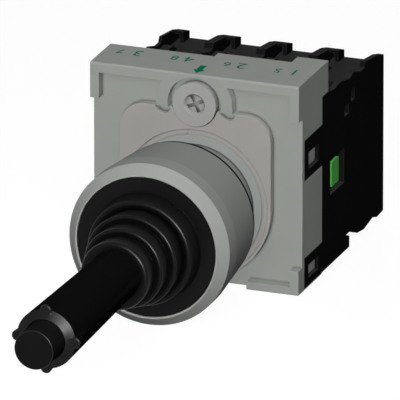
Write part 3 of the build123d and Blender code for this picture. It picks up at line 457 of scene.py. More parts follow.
def finish(
    name, color, roughness, grain, bump, metallic=0.0, specular=0.0, contrast=0.06,
    bare=None, wear=0.0, turned_pitch=None, painted_shade=None,
):
    """A material: mottled colour, worn edges, painted shade in gaps, grain or turning marks as bump,
    and a roughness that follows the mottling. bare is the colour that worn edges show, and crevice is
    the reach and the gain of the painted shade in corners. Lengths are in millimetres."""
    made, tree, shader = new_material(name, color, roughness, metallic, specular)
    surface = place_group(tree, grain_group, grain_size=grain, cell_share=CELL_SHARE)
    darker, lighter = shade(color, 1 - contrast), shade(color, 1 + contrast)
    tone = mix_color(tree, surface.outputs["Tone"], darker, lighter)
    if wear:
        rubbed = place_group(tree, edge_group, edge_width=EDGE_WIDTH, amount=wear)
        tone = mix_color(tree, rubbed.outputs["Wear"], tone, bare)
    # Painted shade: gaps and inner corners get a darker copy of the colour.
    if painted_shade:
        near = place_group(tree, painted_shade_group, reach=painted_shade[0] * MM, gain=painted_shade[1])
        tone = mix_color(tree, near.outputs["Mask"], tone, shade(color, PAINTED_SHADE_TONE))
    tree.links.new(tone, shader.inputs["Base Color"])
    ends = {"to_min": roughness - ROUGHNESS_SPREAD, "to_max": roughness + ROUGHNESS_SPREAD}
    spread = add_node(tree, "ShaderNodeMapRange", value=surface.outputs["Tone"], **ends)
    tree.links.new(spread.outputs["Result"], shader.inputs["Roughness"])
    height = surface.outputs["Height"]
    if turned_pitch:
        height = place_group(tree, turning_group, pitch=turned_pitch).outputs["Height"]
    relief = add_node(tree, "ShaderNodeBump", strength=1.0, distance=bump * MM)
    tree.links.new(height, relief.inputs["Height"])
    tree.links.new(relief.outputs["Normal"], shader.inputs["Normal"])
    return made


print("ready: place_group, mix_color, shade, finish")

# %% [markdown]
# ### Two tones and a painted sheen
# The bezel and the plate have two tones each: the bezel's cone is cut brighter than its barrel, and
# a ring of the plate round the collar is greyer than the rest. Such a border is a mask worked out
# from the Object coordinates: the place along the axis, or the distance from it.


# %% Second tone
def second_tone(made, along, test, border, factor):
    """Multiplies a finish's colour by three factors where the place along the axis, or the distance
    from it, passes the test against the border. The test gives 1 there and 0 elsewhere."""
    tree = made.node_tree
    base = tree.nodes["Principled BSDF"].inputs["Base Color"]
    distance, depth = axis_place(tree)
    passed = math_node(tree, test, depth if along else distance, border)
    toned = mix_color(tree, passed, base.links[0].from_socket, factor, blend="MULTIPLY")
    tree.links.new(toned, base)


print("ready: second_tone")

# %% [markdown]
# Faces that point up get a lighter grey in the colour itself: a painted sheen, which stands in for
# the reflection that dull black tops show. The surface's own direction tells that: its upward part,
# above a limit, is the share of the sheen, and a slow noise makes it uneven. The decks of the
# modules are dull grey for that reason, while their sides stay black.


# %% Painted top sheen
DUST_FROM = 0.6
SHEEN_SCALE = 220
DUST_THIN = 0.7


def painted_top_sheen(made, color):
    """Mixes a painted sheen colour into a finish. The share is the part of the surface's direction
    along Z, from its lower limit to 1 stretched to 0 to 1, times a noise that rises from a floor to
    1."""
    tree = made.node_tree
    base = tree.nodes["Principled BSDF"].inputs["Base Color"]
    place = tree.nodes.new("ShaderNodeTexCoord")
    parts = add_node(tree, "ShaderNodeSeparateXYZ", vector=place.outputs["Normal"])
    upward = add_node(tree, "ShaderNodeMapRange", value=parts.outputs[2], from_min=DUST_FROM)
    layer = add_node(
        tree, "ShaderNodeTexNoise", vector=place.outputs["Object"], scale=SHEEN_SCALE
    )
    uneven = add_node(tree, "ShaderNodeMapRange", value=layer.outputs["Fac"], to_min=DUST_THIN)
    share = math_node(tree, "MULTIPLY", upward.outputs["Result"], uneven.outputs["Result"])
    tree.links.new(mix_color(tree, share, base.links[0].from_socket, color), base)


print("ready: painted_top_sheen")

# %% [markdown]
# ### The object's finishes
# The visible metals are painted or blasted, so they are mostly diffuse. Only the inner pieces of
# steel and brass reflect like bare metal. The collar and the screw lie in gaps, so the painted shade
# of gaps and corners reaches further on them.

# %% Metal finishes
CONE_DEPTH = 1.8
CONE_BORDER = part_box("bezel")[0].y + CONE_DEPTH * MM
PLATE_RING_R = 12.8 * MM
# Where a finish takes a pair for its gaps, that pair is the reach in mm and the gain of the painted
# shade in gaps and corners.
materials = {
    "bezel_metal": finish(
        "satin_bezel", (0.305, 0.315, 0.305), roughness=0.5, grain=0.2, bump=0.002,
        contrast=0.03, bare=(0.5, 0.5, 0.48), wear=0.4, turned_pitch=0.14,
    ),
    "collar_metal": finish(
        "satin_collar", (0.25, 0.256, 0.25), roughness=0.5, grain=0.2, bump=0.002,
        contrast=0.03, turned_pitch=0.14, painted_shade=(0.6, 0.8),
    ),
    "holder_metal": finish(
        "die_cast_metal", (0.291, 0.306, 0.286), roughness=0.55, grain=0.28, bump=0.004,
        bare=(0.42, 0.43, 0.41), wear=0.6, painted_shade=(0.5, 0.9),
    ),
    "plate_metal": finish(
        "zinc_plate", (0.322, 0.316, 0.302), roughness=0.5, grain=0.2, bump=0.003,
        bare=(0.46, 0.45, 0.43), wear=0.6, painted_shade=(0.5, 0.9),
    ),
}
for slot, name, color, roughness, grain, bump in (
    ("steel", "plain_steel", (0.55, 0.55, 0.54), 0.3, 0.15, 0.001),
    ("spring_steel", "drawn_wire", (0.45,) * 3, 0.28, 0.1, 0.001),
    ("brass", "rolled_brass", (0.70, 0.50, 0.20), 0.3, 0.2, 0.002),
):
    materials[slot] = finish(name, color, roughness, grain, bump, metallic=1.0, specular=0.5)
second_tone(materials["bezel_metal"], True, "GREATER_THAN", CONE_BORDER, (0.9,) * 3)
second_tone(materials["plate_metal"], False, "LESS_THAN", PLATE_RING_R, (0.9, 0.965, 0.98))
# The screw's funnel and the gap round it get painted shade that reaches 1 mm.
SCREW_FINISH = finish(
    "zinc_screw", (0.325, 0.33, 0.32), roughness=0.5, grain=0.15, bump=0.001,
    bare=(0.5, 0.5, 0.48), wear=0.6, painted_shade=(1.0, 1.1),
)
CUT_EDGE_FINISH = finish(
    "cut_edge", (0.34, 0.345, 0.335), roughness=0.36, grain=0.2, bump=0.001,
    specular=0.12, contrast=0.02,
)
print("metal finishes:", sorted(materials))

# %% [markdown]
# The blacks differ by what they do with light. The modules and the grip are dull, the polished
# rims of the grip and the button gleam faintly, and the rubber boot shines on its folds.

# %% Plastic and rubber finishes
materials |= {
    "seal_rubber": finish("seal_rubber", (0.003,) * 3, roughness=0.8, grain=0.3, bump=0.004),
    # The boot's folds get painted shade in their hollows, reaching 3 mm.
    "boot_rubber": finish(
        "boot_rubber", (0.0068, 0.0068, 0.007), roughness=0.32, grain=0.25, bump=0.001,
        specular=0.05, painted_shade=(3, 1.2),
    ),
    "black_plastic": finish(
        "black_moulding", (0.0078, 0.0078, 0.0081), roughness=0.6, grain=0.25, bump=0.004,
        bare=(0.05,) * 3, wear=0.7,
    ),
    "white_plastic": finish(
        "natural_moulding", (0.75, 0.74, 0.70), roughness=0.45, grain=0.3, bump=0.003, specular=0.5
    ),
    "green_plastic": finish(
        "green_moulding", (0.08, 0.42, 0.075), roughness=0.5, grain=0.3, bump=0.003
    ),
}
# Painted sheen: the tops of the black plastic are lighter in colour.
painted_top_sheen(materials["black_plastic"], (0.036,) * 3)
GRIP_FINISH = finish(
    "grip_moulding", (0.0055, 0.0055, 0.0057), roughness=0.5, grain=0.25, bump=0.003,
    bare=(0.02,) * 3, wear=0.5,
)
CAP_FINISH = finish(
    "cap_moulding", (0.0092, 0.0092, 0.0094), roughness=0.5, grain=0.25, bump=0.003
)
POLISHED_FINISH = finish(
    "polished_rim", (0.004,) * 3, roughness=0.36, grain=0.25, bump=0.001, specular=0.1
)
print("all finishes:", len(bpy.data.materials), "with the floor's")

# %% [markdown]
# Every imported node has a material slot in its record, such as black_plastic, and takes the finish
# of that name. The clamp screw shares its slot with the locking plate and has its own finish.

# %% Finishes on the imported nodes
slot_of = {row["node"]: row["material_slot"] for row in frame["record"]["subparts"]}
for name, node in frame["nodes"].items():
    node.data.materials.clear()
    node.data.materials.append(SCREW_FINISH if name == "clamp_screw" else materials[slot_of[name]])
print("finished", len(slot_of), "nodes with", len(materials), "slots")

# %% [markdown]
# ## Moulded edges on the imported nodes
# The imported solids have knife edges, and no casting or moulding has. Merging the loose triangles,
# joining the flat ones into whole faces and then cutting a narrow bevel round every sharp edge
# gives edges that catch the light. Modifiers do it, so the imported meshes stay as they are.


# %% Soft edges by modifiers
WELD_WITHIN = 0.002 * MM
FLAT_WITHIN = math.radians(1)
EDGE_FROM = math.radians(30)


def soften(name, width, segments=2):
    """Weld, then flat faces joined, then a bevel of the given width on edges over EDGE_FROM."""
    node = frame["nodes"][name]
    weld = node.modifiers.new("join_corners", "WELD")
    weld.merge_threshold = WELD_WITHIN
    flat = node.modifiers.new("whole_faces", "DECIMATE")
    flat.decimate_type = "DISSOLVE"
    flat.angle_limit = FLAT_WITHIN
    bevel = node.modifiers.new("soft_edges", "BEVEL")
    bevel.width = width
    bevel.segments = segments
    bevel.limit_method = "ANGLE"
    bevel.angle_limit = EDGE_FROM
    bevel.use_clamp_overlap = True
    bevel.harden_normals = True


SOFT_NODES = {"holder_frame": 0.18 * MM, "locking_plate": 0.1 * MM, "clamp_screw": 0.12 * MM}
for number in (1, 2, 3, 4):
    SOFT_NODES[f"module_cover_{number}"] = 0.12 * MM
    SOFT_NODES[f"module_housing_{number}"] = 0.12 * MM
for name, width in SOFT_NODES.items():
    soften(name, width)
print("softened", len(SOFT_NODES), "nodes")

# %% [markdown]
# ## Turned pieces
# The bezel, the boot and the release button are round about the joystick's axis. Such a piece is a
# profile of radius and depth, carried round the axis. The corners of a profile are rounded first,
# each by an arc that is tangent to both of its sides, and then the whole grid of points is worked
# out at once.


# %% Rounded profiles
MOST_OF_SIDE = 0.49
NO_ROUNDING = 1e-6


def rounded(corners, radii, steps=6):
    """A closed outline with round corners. At each corner the arc leaves one side and joins the
    other at the distance radius / tan(half the angle) from it; a radius of 0 keeps the corner.
    Returns an array of (radius, depth) points."""
    corners = np.asarray(corners, float)
    found = []
    for i, radius in enumerate(radii):
        here = corners[i]
        ways = [corners[i - 1] - here, corners[(i + 1) % len(corners)] - here]
        lengths = [np.linalg.norm(w) for w in ways]
        ways = [w / length for w, length in zip(ways, lengths)]
        half_angle = math.acos(np.clip(ways[0] @ ways[1], -1, 1)) / 2
        reach = min(radius / math.tan(half_angle), MOST_OF_SIDE * min(lengths))
        if reach < NO_ROUNDING:
            found.append(here[None])
            continue
        arc_r = reach * math.tan(half_angle)
        middle = (ways[0] + ways[1]) / np.linalg.norm(ways[0] + ways[1])
        centre = here + middle * arc_r / math.sin(half_angle)
        first, last = (here + w * reach - centre for w in ways)
        turn = math.atan2(first[0] * last[1] - first[1] * last[0], first @ last)
        angles = np.linspace(0, turn, steps)
        cos, sin = np.cos(angles), np.sin(angles)
        arc = [cos * first[0] - sin * first[1], sin * first[0] + cos * first[1]]
        found.append(centre + np.stack(arc, 1))
    return np.concatenate(found)


square = rounded([(0, 0), (2, 0), (2, 2), (0, 2)], [0.5] * 4)
print("a rounded square has", len(square), "points")

# %% [markdown]
# A grid of points becomes a mesh with a face between each four neighbours. It is shaded smooth,
# and edges that bend by more than a limit stay sharp.

# %% Meshes from grids
SHARP_FROM = math.radians(32)


def grid_mesh(name, points, poles=None):
    """A mesh from an array of points, rows by steps by 3, in millimetres. Each row is a ring, so
    the last step joins the first. Without poles the last row joins the first row. With two poles
    the first and the last row are each closed by a fan of triangles to its pole."""
    rows, steps = points.shape[:2]
    index = np.arange(rows * steps).reshape(rows, steps)
    faces = []
    flat = points.reshape(-1, 3)
    if poles is None:
        index = np.concatenate([index, index[:1]])
    else:
        first, last = np.full(steps, rows * steps), np.full(steps, rows * steps + 1)
        faces += np.stack([first, np.roll(index[0], -1), index[0]], -1).tolist()
        faces += np.stack([last, index[-1], np.roll(index[-1], -1)], -1).tolist()
        flat = np.concatenate([flat, poles])
    here, up = index[:-1], index[1:]
    fours = np.stack([here, np.roll(here, -1, 1), np.roll(up, -1, 1), up], -1)
    faces += fours.reshape(-1, 4).tolist()
    mesh = bpy.data.meshes.new(name)
    mesh.from_pydata((flat * MM).tolist(), [], faces)
    mesh.shade_smooth()
    mesh.set_sharp_from_angle(angle=SHARP_FROM)
    return add_object(name, mesh)


def turned(name, profile, steps=128):
    """A profile carried round the Y axis: the point (r, y) becomes the ring (r cos a, y, r sin a)
    for every angle a. A profile that starts and ends on the axis gets a pole at each end. Its
    area, half the sum of r y' - r' y, tells which way round it runs, and so where faces point."""
    r, y = profile.T
    if (r * np.roll(y, -1) - np.roll(r, -1) * y).sum() > 0:
        profile = profile[::-1]
    angles = np.linspace(0, 2 * math.pi, steps, endpoint=False)
    poles = None
    if profile[0, 0] == 0 and profile[-1, 0] == 0:
        poles = [(0, profile[0, 1], 0), (0, profile[-1, 1], 0)]
        profile = profile[1:-1]
    r, y = profile[:, 0, None], profile[:, 1, None]
    ring = np.stack([r * np.cos(angles), y + 0 * angles, r * np.sin(angles)], -1)
    return grid_mesh(name, ring, poles)


print("ready: grid_mesh, turned")

# %% [markdown]
# Every new piece then gets the finish of its slot and, where one is given, the body on which it
# rides. A machined ring also gets weighted normals, so that its flat faces look flat.


# %% Dressing a piece
def flats_first(piece):
    """Weighted normals: a large flat face keeps its true direction, and the narrow rounding beside
    it takes up the whole bend, as on a machined edge."""
    weighted = piece.modifiers.new("flats_first", "WEIGHTED_NORMAL")
    weighted.keep_sharp = True
    return piece


def dress(piece, slot, body=None, look=None):
    """Gives a new piece the finish of its slot, or the look given instead, and lets it ride on a body
    if one is given.
    """
    piece.data.materials.append(look or materials[slot])
    if body:
        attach(piece, body)
    print(piece.name, len(piece.data.polygons), "faces")
    return piece


print("ready: flats_first, dress")

# %% [markdown]
# Moulded grips are often dull on the sides and smooth where the mould was polished, and a cut edge
# shines on a blasted metal ring. A mesh can keep two materials, and each face stores the number of
# the one that it wears, so the smooth band is chosen by where the middle of each face lies.

# %% Polished bands
ROW_GAP = 0.02


def polish(piece, look, radii, depths):
    """Faces whose middle lies between two radii and two depths, in millimetres, get another
    finish. The radius is the distance from the Y axis, and the depth is the place along it."""
    piece.data.materials.append(look)
    middles = np.zeros(len(piece.data.polygons) * 3)
    piece.data.polygons.foreach_get("center", middles)
    x, y, z = middles.reshape(-1, 3).T / MM
    r = np.hypot(x, z)
    chosen = (r > radii[0]) & (r < radii[1]) & (y > depths[0]) & (y < depths[1])
    piece.data.polygons.foreach_set("material_index", chosen.astype(np.int32))
    print(piece.name, "has", int(chosen.sum()), "polished faces")


print("ready: polish, with a margin of", ROW_GAP, "mm")

# %% [markdown]
# ### Bezel
# The bezel is a turned metal ring with a conical face. Its inner edge is a narrow flat that shines
# as a thin line round the boot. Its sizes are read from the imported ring, so that it stays where the
# seal and the boot's flange are.

# %% Bezel ring
low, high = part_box("bezel")
bezel_front, bezel_back, bezel_r = low.y / MM, high.y / MM, high.x / MM
FACE_WIDTH, REAR_STEP = 2.05, 1.15
BORE_R, REAR_R = bezel_r - FACE_WIDTH, bezel_r - REAR_STEP
EDGE_FLAT = 0.28
BORE_EDGE_R = 0.16
BARREL_LENGTH = 3.5
cone_end = bezel_front + CONE_DEPTH
bezel_corners = [
    (BORE_R, bezel_back), (BORE_R, bezel_front), (BORE_R + EDGE_FLAT, bezel_front),
    (bezel_r, cone_end), (bezel_r, cone_end + BARREL_LENGTH), (REAR_R, bezel_back),
]
bezel_radii = [0, BORE_EDGE_R, 0.03, 0.1, 0.6, 0.15]
bezel = turned("bezel_ring", rounded(bezel_corners, bezel_radii, steps=8), steps=192)
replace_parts(dress(flats_first(bezel), "bezel_metal", "housing"), "bezel")
cut_radii = (BORE_R - ROW_GAP, BORE_R + EDGE_FLAT + ROW_GAP)
cut_depths = (bezel_front - ROW_GAP, bezel_front + BORE_EDGE_R + ROW_GAP)
polish(bezel, CUT_EDGE_FINISH, cut_radii, cut_depths)

# %% [markdown]
# ### Rubber boot
# The boot has a flat flange inside the bezel and four folds that step down to the handle. Each
# fold is a wall that flares out to a round crest, and a flat front that ends in a narrow valley.
# The boot bends when the lever tilts, and it has to follow two joints. The boot is two pieces that
# meet in the first valley: the rear piece runs from the flange to that valley, and the front piece
# from there to the grip.

# %% Boot folds
CREST_R, CREST_Y = 9.8, -22.0
CREST_STEP_R, CREST_STEP_Y = 1.1, -4.13
VALLEY_IN = 0.42
VALLEY_BACK = 0.5
CREST_ROUND = 0.95
VALLEY_ROUND = 0.02
WALL = 0.7
FLANGE_INNER_R = 10.35
FLANGE_SET_BACK = 0.27
FLANGE_GAP = 0.05
GRIP_BACK_R = 4.65
flange_y = bezel_front + FLANGE_SET_BACK
flange_r = BORE_R - FLANGE_GAP


def crest(fold):
    """Radius and depth of a fold's crest."""
    return CREST_R - fold * CREST_STEP_R, CREST_Y + fold * CREST_STEP_Y


def valley(fold):
    """Radius and depth of the valley in front of a fold, where the next fold's wall starts."""
    r, y = crest(fold)
    return r - CREST_STEP_R - VALLEY_IN, y + VALLEY_BACK


print("crests at", [tuple(round(v, 2) for v in crest(fold)) for fold in range(4)])

# %% [markdown]
# The wall of the boot is one outline of radius and depth, closed behind by the same outline moved
# in and back. Its front end hugs the grip's back end, where a real boot grips with a lip.

# %% Boot pieces
LIP_GAP, LIP_DROP = 0.12, 0.1
INNER_ROUND_SHARE = 0.5


def boot_piece(name, outer, outer_radii):
    """A rubber wall: the outline moved in and back by the wall closes the profile behind it."""
    inner = [(r - WALL, y + WALL) for r, y in outer]
    corners = outer + inner[::-1]
    radii = outer_radii + [radius * INNER_ROUND_SHARE for radius in outer_radii[::-1]]
    return turned(name, rounded(corners, radii, steps=9), steps=160)


rear_outer = [(flange_r, flange_y), (FLANGE_INNER_R, flange_y), crest(0), valley(0)]
rear_radii = [0, VALLEY_ROUND, CREST_ROUND, 0]
boot_lip = (GRIP_BACK_R + LIP_GAP, crest(3)[1] + LIP_DROP)
front_outer = [valley(0), crest(1), valley(1), crest(2), valley(2), crest(3), boot_lip]
front_radii = [0, CREST_ROUND, VALLEY_ROUND, CREST_ROUND, VALLEY_ROUND, CREST_ROUND, 0.1]
boot_rear = dress(boot_piece("boot_rear", rear_outer, rear_radii), "boot_rubber")
boot_front = dress(boot_piece("boot_front", front_outer, front_radii), "boot_rubber")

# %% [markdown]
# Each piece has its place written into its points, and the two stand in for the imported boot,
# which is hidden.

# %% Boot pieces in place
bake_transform(boot_rear)
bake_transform(boot_front)
for piece in (boot_rear, boot_front):
    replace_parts(piece, "boot")

# %% [markdown]
# ### Springs
# A coil spring is a wire carried along a helix. The imported springs are rigid, and the long one that
# brings the lever back would come through the boot when the lever tilts. So each is made again with
# a round wire. The long one crosses both hinges, so it is two pieces, as the boot is.

# %% Coil springs
WIRE_STEPS = 10
ROWS_PER_TURN, FEWEST_ROWS = 26, 8


def coil(name, ends, radii, wire_r, turns, centre=(0, 0), share=(0, 1)):
    """A wire along a helix: at the share t of its length the wire's middle is at the angle 2 pi
    turns t, and its radius and depth grow evenly with t from one end to the other. Round it the
    section is wire_r (cos b out + sin b side), where side is the wire's way crossed with outwards.
    share picks a part of the coil, and centre is the x and z of its axis."""
    rows = max(FEWEST_ROWS, round(ROWS_PER_TURN * turns * (share[1] - share[0])))
    t = np.linspace(*share, rows)
    a = 2 * math.pi * turns * t
    r = radii[0] + (radii[1] - radii[0]) * t
    y = ends[0] + (ends[1] - ends[0]) * t
    middle = np.stack([r * np.cos(a) + centre[0], y, r * np.sin(a) + centre[1]], -1)
    way = np.gradient(middle, axis=0)
    way /= np.linalg.norm(way, axis=1, keepdims=True)
    side = np.cross(way, np.stack([np.cos(a), 0 * a, np.sin(a)], -1))
    side /= np.linalg.norm(side, axis=1, keepdims=True)
    out = np.cross(side, way)
    b = np.linspace(0, 2 * math.pi, WIRE_STEPS, endpoint=False)[None, :, None]
    points = middle[:, None] + wire_r * (np.cos(b) * out[:, None] + np.sin(b) * side[:, None])
    return grid_mesh(name, points, [tuple(middle[0]), tuple(middle[-1])])


def fit_spring(piece, node, bodies, start_y, end_y, centre=(0, 0)):
    """Gives the spring the finish of the spring steel slot and hides the node that it replaces. The
    two bodies and the stretch of the axis, start_y to end_y, are not used.
    """
    dress(piece, "spring_steel")
    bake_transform(piece)
    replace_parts(piece, node)


print("ready: coil, fit_spring")

# %% [markdown]
# The long spring narrows to the front. It is cut where the gimbal carries it, and each part keeps
# its own share of the same helix, so that the two ends meet.

# %% Long spring
LONG_WIRE, LONG_TURNS, LONG_FRONT_R = 0.4, 5, 4.1
LONG_SEAM, SEAM_MARGIN, END_MARGIN = -18.2, 0.2, 0.4
low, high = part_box("centering_spring")
long_ends = (low.y / MM + LONG_WIRE, high.y / MM - LONG_WIRE)
long_radii = (LONG_FRONT_R, high.z / MM - LONG_WIRE)
long_share = (LONG_SEAM - long_ends[0]) / (long_ends[1] - long_ends[0])
long_shape = (long_ends, long_radii, LONG_WIRE, LONG_TURNS)
front_coil = coil("centering_coil_front", *long_shape, share=(0, long_share))
rear_coil = coil("centering_coil_rear", *long_shape, share=(long_share, 1))
front_bend = (LONG_SEAM - SEAM_MARGIN, long_ends[0])
rear_bend = (long_ends[1] - END_MARGIN, LONG_SEAM + SEAM_MARGIN)
fit_spring(front_coil, "centering_spring", ("gimbal", "lever"), *front_bend)
fit_spring(rear_coil, "centering_spring", ("housing", "gimbal"), *rear_bend)

# %% [markdown]
# The spring of the release button and the four contact springs lie along one slide each.

# %% Short springs
SHORT_WIRE, SHORT_TURNS = 0.3, 4
low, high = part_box("release_spring")
short_ends = (low.y / MM + SHORT_WIRE, high.y / MM - SHORT_WIRE)
short_r = high.x / MM - SHORT_WIRE
short_coil = coil("release_coil", short_ends, (short_r, short_r), SHORT_WIRE, SHORT_TURNS)
fit_spring(short_coil, "release_spring", ("release", "lever"), *short_ends)

CONTACT_WIRE, CONTACT_TURNS = 0.22, 3
CONTACT_BODIES = ("left_contact", "top_contact", "bottom_contact", "right_contact")
for number, body in enumerate(CONTACT_BODIES, 1):
    low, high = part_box(f"module_spring_{number}")
    axis = ((low.x + high.x) / 2 / MM, (low.z + high.z) / 2 / MM)
    ends = (low.y / MM + CONTACT_WIRE, high.y / MM - CONTACT_WIRE)
    coil_r = (high.x - low.x) / 2 / MM - CONTACT_WIRE
    shape = (ends, (coil_r, coil_r), CONTACT_WIRE, CONTACT_TURNS, axis)
    contact_coil = coil(f"contact_coil_{number}", *shape)
    fit_spring(contact_coil, f"module_spring_{number}", (body, "housing"), *ends, axis)

# %% [markdown]
# ### Handle
# The grip is a long taper with a conical rim at its tip and four half-round ribs that run out into
# it. The whole outside is one grid of angle and depth. Where a rib stands, the radius is the
# distance to the rib's circle, and a smooth maximum of that and the grip's radius gives the small
# fillet that a moulding has.

# %% Outside of the grip
low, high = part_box("handle")
grip_front, grip_back = low.y / MM, high.y / MM
GRIP_FRONT_R = 5.5
RIM_DEPTH, MOUTH_R = 0.8, 3.9
RIB_R, RIB_CENTRE = 1.03, 5.42
RIB_DROP, RIB_LENGTH = 1.25, 8.9
RIB_SET_BACK = 0.45
RIB_START = grip_front + RIB_SET_BACK
END_ROUND, END_SIZE = 0.3, 0.75


def rib_angles(near=34, far=12, width=math.radians(15)):
    """Angles round the grip, dense over the four ribs and sparse between them."""
    dense = np.linspace(-width, width, near)
    sparse = np.linspace(width, math.pi / 2 - width, far + 2)[1:-1]
    quarter = np.concatenate([dense, sparse])
    return np.concatenate([quarter + turn * math.pi / 2 for turn in range(4)])


def rib_radius(angles, y):
    """Distance from the axis to the rib's circle: c cos a + sqrt(R squared - c squared sin squared
    a), where a is the angle from the rib's middle. Past the circle's edge the root is taken of the
    size of what is under it and counts downwards, so that the curve dives on without a step. c
    falls along the rib, so the rib sinks into the grip. Over the first END_ROUND, R grows as a
    quarter circle does, from END_SIZE of its size to all of it."""
    along = np.clip((y - RIB_START) / RIB_LENGTH, 0, 1)
    centre = RIB_CENTRE - along * RIB_DROP
    tip = np.clip((y - RIB_START) / END_ROUND, 0, 1)
    size = RIB_R * (END_SIZE + (1 - END_SIZE) * np.sqrt(1 - (1 - tip) ** 2))
    away = (angles + math.pi / 4) % (math.pi / 2) - math.pi / 4
    under = size**2 - (centre * np.sin(away)) ** 2
    return centre * np.cos(away) + np.sign(under) * np.sqrt(np.abs(under))


def grip_radius(y):
    """The taper from back to front, cut by the rim's cone: the smaller of the two radii."""
    taper_length = grip_back - grip_front - RIM_DEPTH
    taper = GRIP_BACK_R + (GRIP_FRONT_R - GRIP_BACK_R) * (grip_back - y) / taper_length
    cone = MOUTH_R + (GRIP_FRONT_R - MOUTH_R) * (y - grip_front) / RIM_DEPTH
    return np.minimum(taper, cone)


angles = rib_angles()
print("grip: radius", round(float(grip_radius(RIB_START)), 2), "mm at its tip")

# %% [markdown]
# The rows of the grid run along the outside to the tip, over the rim and down the well that holds
# the button, and back through the bore to the first row, so that the wall is closed.

# %% Grip with ribs
BACK_ROWS, RIB_ROWS, TIP_ROWS = 12, 26, 7
FILLET = 0.12
WELL_R, WELL_DEPTH = 3.75, 7.6
WELL_CHAMFER = 0.12
SOCKET_R = 3.05

rib_end = RIB_START + RIB_LENGTH
cone_edge = grip_front + RIM_DEPTH
well_end = grip_front + WELL_DEPTH
tip_rows = RIB_START + END_ROUND * (1 - np.sin(np.linspace(0, math.pi / 2, TIP_ROWS)))
back_rows = np.linspace(grip_back, rib_end, BACK_ROWS)[:-1]
rib_rows = np.linspace(rib_end, cone_edge, RIB_ROWS)
outer_rows = np.concatenate([back_rows, rib_rows, tip_rows])
bare_rows = np.array([RIB_START - ROW_GAP, grip_front])
well_top = (WELL_R, grip_front + WELL_CHAMFER)
well = np.array([well_top, (WELL_R, well_end), (SOCKET_R, well_end), (SOCKET_R, grip_back)])
bare_r = grip_radius(outer_rows)[:, None]
ribs = rib_radius(angles[None], outer_rows[:, None])
ribbed = (bare_r + ribs + np.sqrt((bare_r - ribs) ** 2 + FILLET**2)) / 2
round_part = np.concatenate([np.stack([grip_radius(bare_rows), bare_rows], 1), well])
radii = np.concatenate([ribbed, np.repeat(round_part[:, :1], len(angles), 1)])
depths = np.concatenate([outer_rows, round_part[:, 1]])[:, None] + 0 * radii
grip_points = np.stack([radii * np.cos(angles), depths, radii * np.sin(angles)], -1)
grip = grid_mesh("ribbed_grip", grip_points)
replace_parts(dress(grip, "black_plastic", "lever", GRIP_FINISH), "handle")
rim_radii = (MOUTH_R - ROW_GAP, RIB_CENTRE + RIB_R)
polish(grip, POLISHED_FINISH, rim_radii, (grip_front - ROW_GAP, cone_edge))

# %% [markdown]
# ### Release button
# The button is a plain round cap with a small rounding at its front, which gives the thin gleam
# along its edge, and a bore for the rod behind. Its profile starts and ends on the axis, so its
# face closes in a pole and has no hole.

# %% Release button
low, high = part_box("release_button")
button_front, button_back = low.y / MM, high.y / MM
BUTTON_R = 3.65
CORE_R = 1.55
CAP_T = 1.0
EDGE_R = 0.16
button_corners = [
    (0, button_front), (BUTTON_R, button_front), (BUTTON_R, button_back),
    (CORE_R, button_back), (CORE_R, button_front + CAP_T), (0, button_front + CAP_T),
]
button_radii = [0, EDGE_R, EDGE_R / 2, 0, 0, 0]
button = turned("release_cap", rounded(button_corners, button_radii), steps=128)
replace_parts(dress(flats_first(button), "black_plastic", "release", CAP_FINISH), "release_button")
edge_radii, edge_depths = (BUTTON_R - EDGE_R, BUTTON_R), (button_front, button_front + EDGE_R)
polish(button, POLISHED_FINISH, edge_radii, edge_depths)

# %% [markdown]
# ## Slot numbers and arrow
# The holder's top carries the numbers of its slots and a fat arrow that points to the front. They
# are printed, so each is a very thin body on the surface. A text object is made a mesh before it is
# put in place, because only a mesh can have its place written into its points.

# %% Printed marks
INK = finish("printed_ink", (0.004, 0.15, 0.08), roughness=0.5, grain=0.2, bump=0.001)
INK_T = 0.02 * MM
holder_low, holder_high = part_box("holder_frame")
top_z = holder_high.z
rim_y = holder_low.y


def place_mark(mesh, name, x, y):
    """Writes a flat mark's place into its points: its middle goes to x and y on the holder's top,
    and half a turn about Z gives each point the place less its own offset."""
    points = np.zeros(len(mesh.vertices) * 3)
    mesh.vertices.foreach_get("co", points)
    points = points.reshape(-1, 3)
    points[:, :2] -= (points[:, :2].max(0) + points[:, :2].min(0)) / 2
    right, back, up = points.T
    placed = np.stack([x - right, y - back, up + top_z], 1)
    mesh.vertices.foreach_set("co", placed.ravel())
    mesh.update()
    mesh.materials.clear()
    mesh.materials.append(INK)
    made = add_object(name, mesh)
    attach(made, "housing")


print("marks lie at", round(top_z / MM, 2), "mm, the rim at", round(rim_y / MM, 2), "mm")

# %% [markdown]
# The digits come from Blender's own plain font. Its capitals stand 0.72 of the text size high, and
# an offset makes the strokes a little thinner.

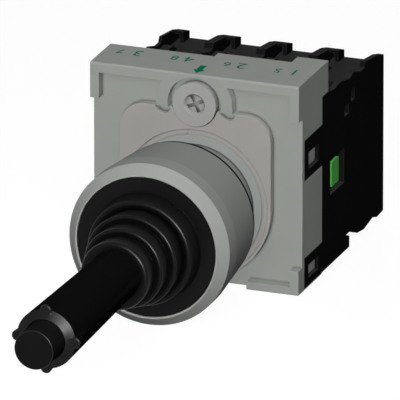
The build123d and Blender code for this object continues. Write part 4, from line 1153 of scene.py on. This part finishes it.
# %% Slot numbers
SMALL_DIGIT, LARGE_DIGIT = 2.15 * MM, 2.8 * MM
DIGIT_Y = 7.2 * MM
CAPITAL_SHARE = 0.72
STROKE_SPREAD = -0.01 * MM


def digit_mesh(sign, height):
    """The outline of one digit, filled and raised by the thickness of the ink."""
    text = bpy.data.curves.new("sign", "FONT")
    text.body = sign
    text.size = height / CAPITAL_SHARE
    text.offset = STROKE_SPREAD
    text.extrude = INK_T
    holder = add_object("sign", text)
    bpy.context.view_layer.update()
    filled = holder.evaluated_get(bpy.context.evaluated_depsgraph_get())
    mesh = bpy.data.meshes.new_from_object(filled)
    bpy.data.objects.remove(holder)
    return mesh


LARGE_ONES = "1234"
PLACES = {"7": -16.8, "3": -13.4, "8": -6.4, "4": -3.6, "6": 3.6, "2": 6.4, "5": 13.4, "1": 16.5}
for sign, x in PLACES.items():
    height = LARGE_DIGIT if sign in LARGE_ONES else SMALL_DIGIT
    place_mark(digit_mesh(sign, height), f"slot_number_{sign}", x * MM, rim_y + DIGIT_Y)
print("slot numbers:", *PLACES)

# %% [markdown]
# The arrow is a flat outline of seven corners, drawn below and above the surface. A side between
# each two neighbours closes it.

# %% Arrow
ARROW_L, ARROW_W, STEM_W, HEAD_L = 4.1 * MM, 2.3 * MM, 1.15 * MM, 1.8 * MM
ARROW_Y = 3.0 * MM
tip, neck, tail = ARROW_L / 2, ARROW_L / 2 - HEAD_L, -ARROW_L / 2
left_side = [(-ARROW_W / 2, neck), (-STEM_W / 2, neck), (-STEM_W / 2, tail)]
outline = [(0, tip)] + left_side + [(-x, y) for x, y in left_side[::-1]]
corners = len(outline)
arrow_points = [(*point, z) for z in (-INK_T, INK_T) for point in outline]
below = np.arange(corners)
sides = np.stack([below, np.roll(below, -1), np.roll(below, -1) + corners, below + corners], 1)
caps = [below[::-1].tolist(), (below + corners).tolist()]
arrow_mesh = bpy.data.meshes.new("arrow")
arrow_mesh.from_pydata(arrow_points, [], sides.tolist() + caps)
place_mark(arrow_mesh, "front_arrow", 0, rim_y + ARROW_Y)
print("arrow:", corners, "corners")
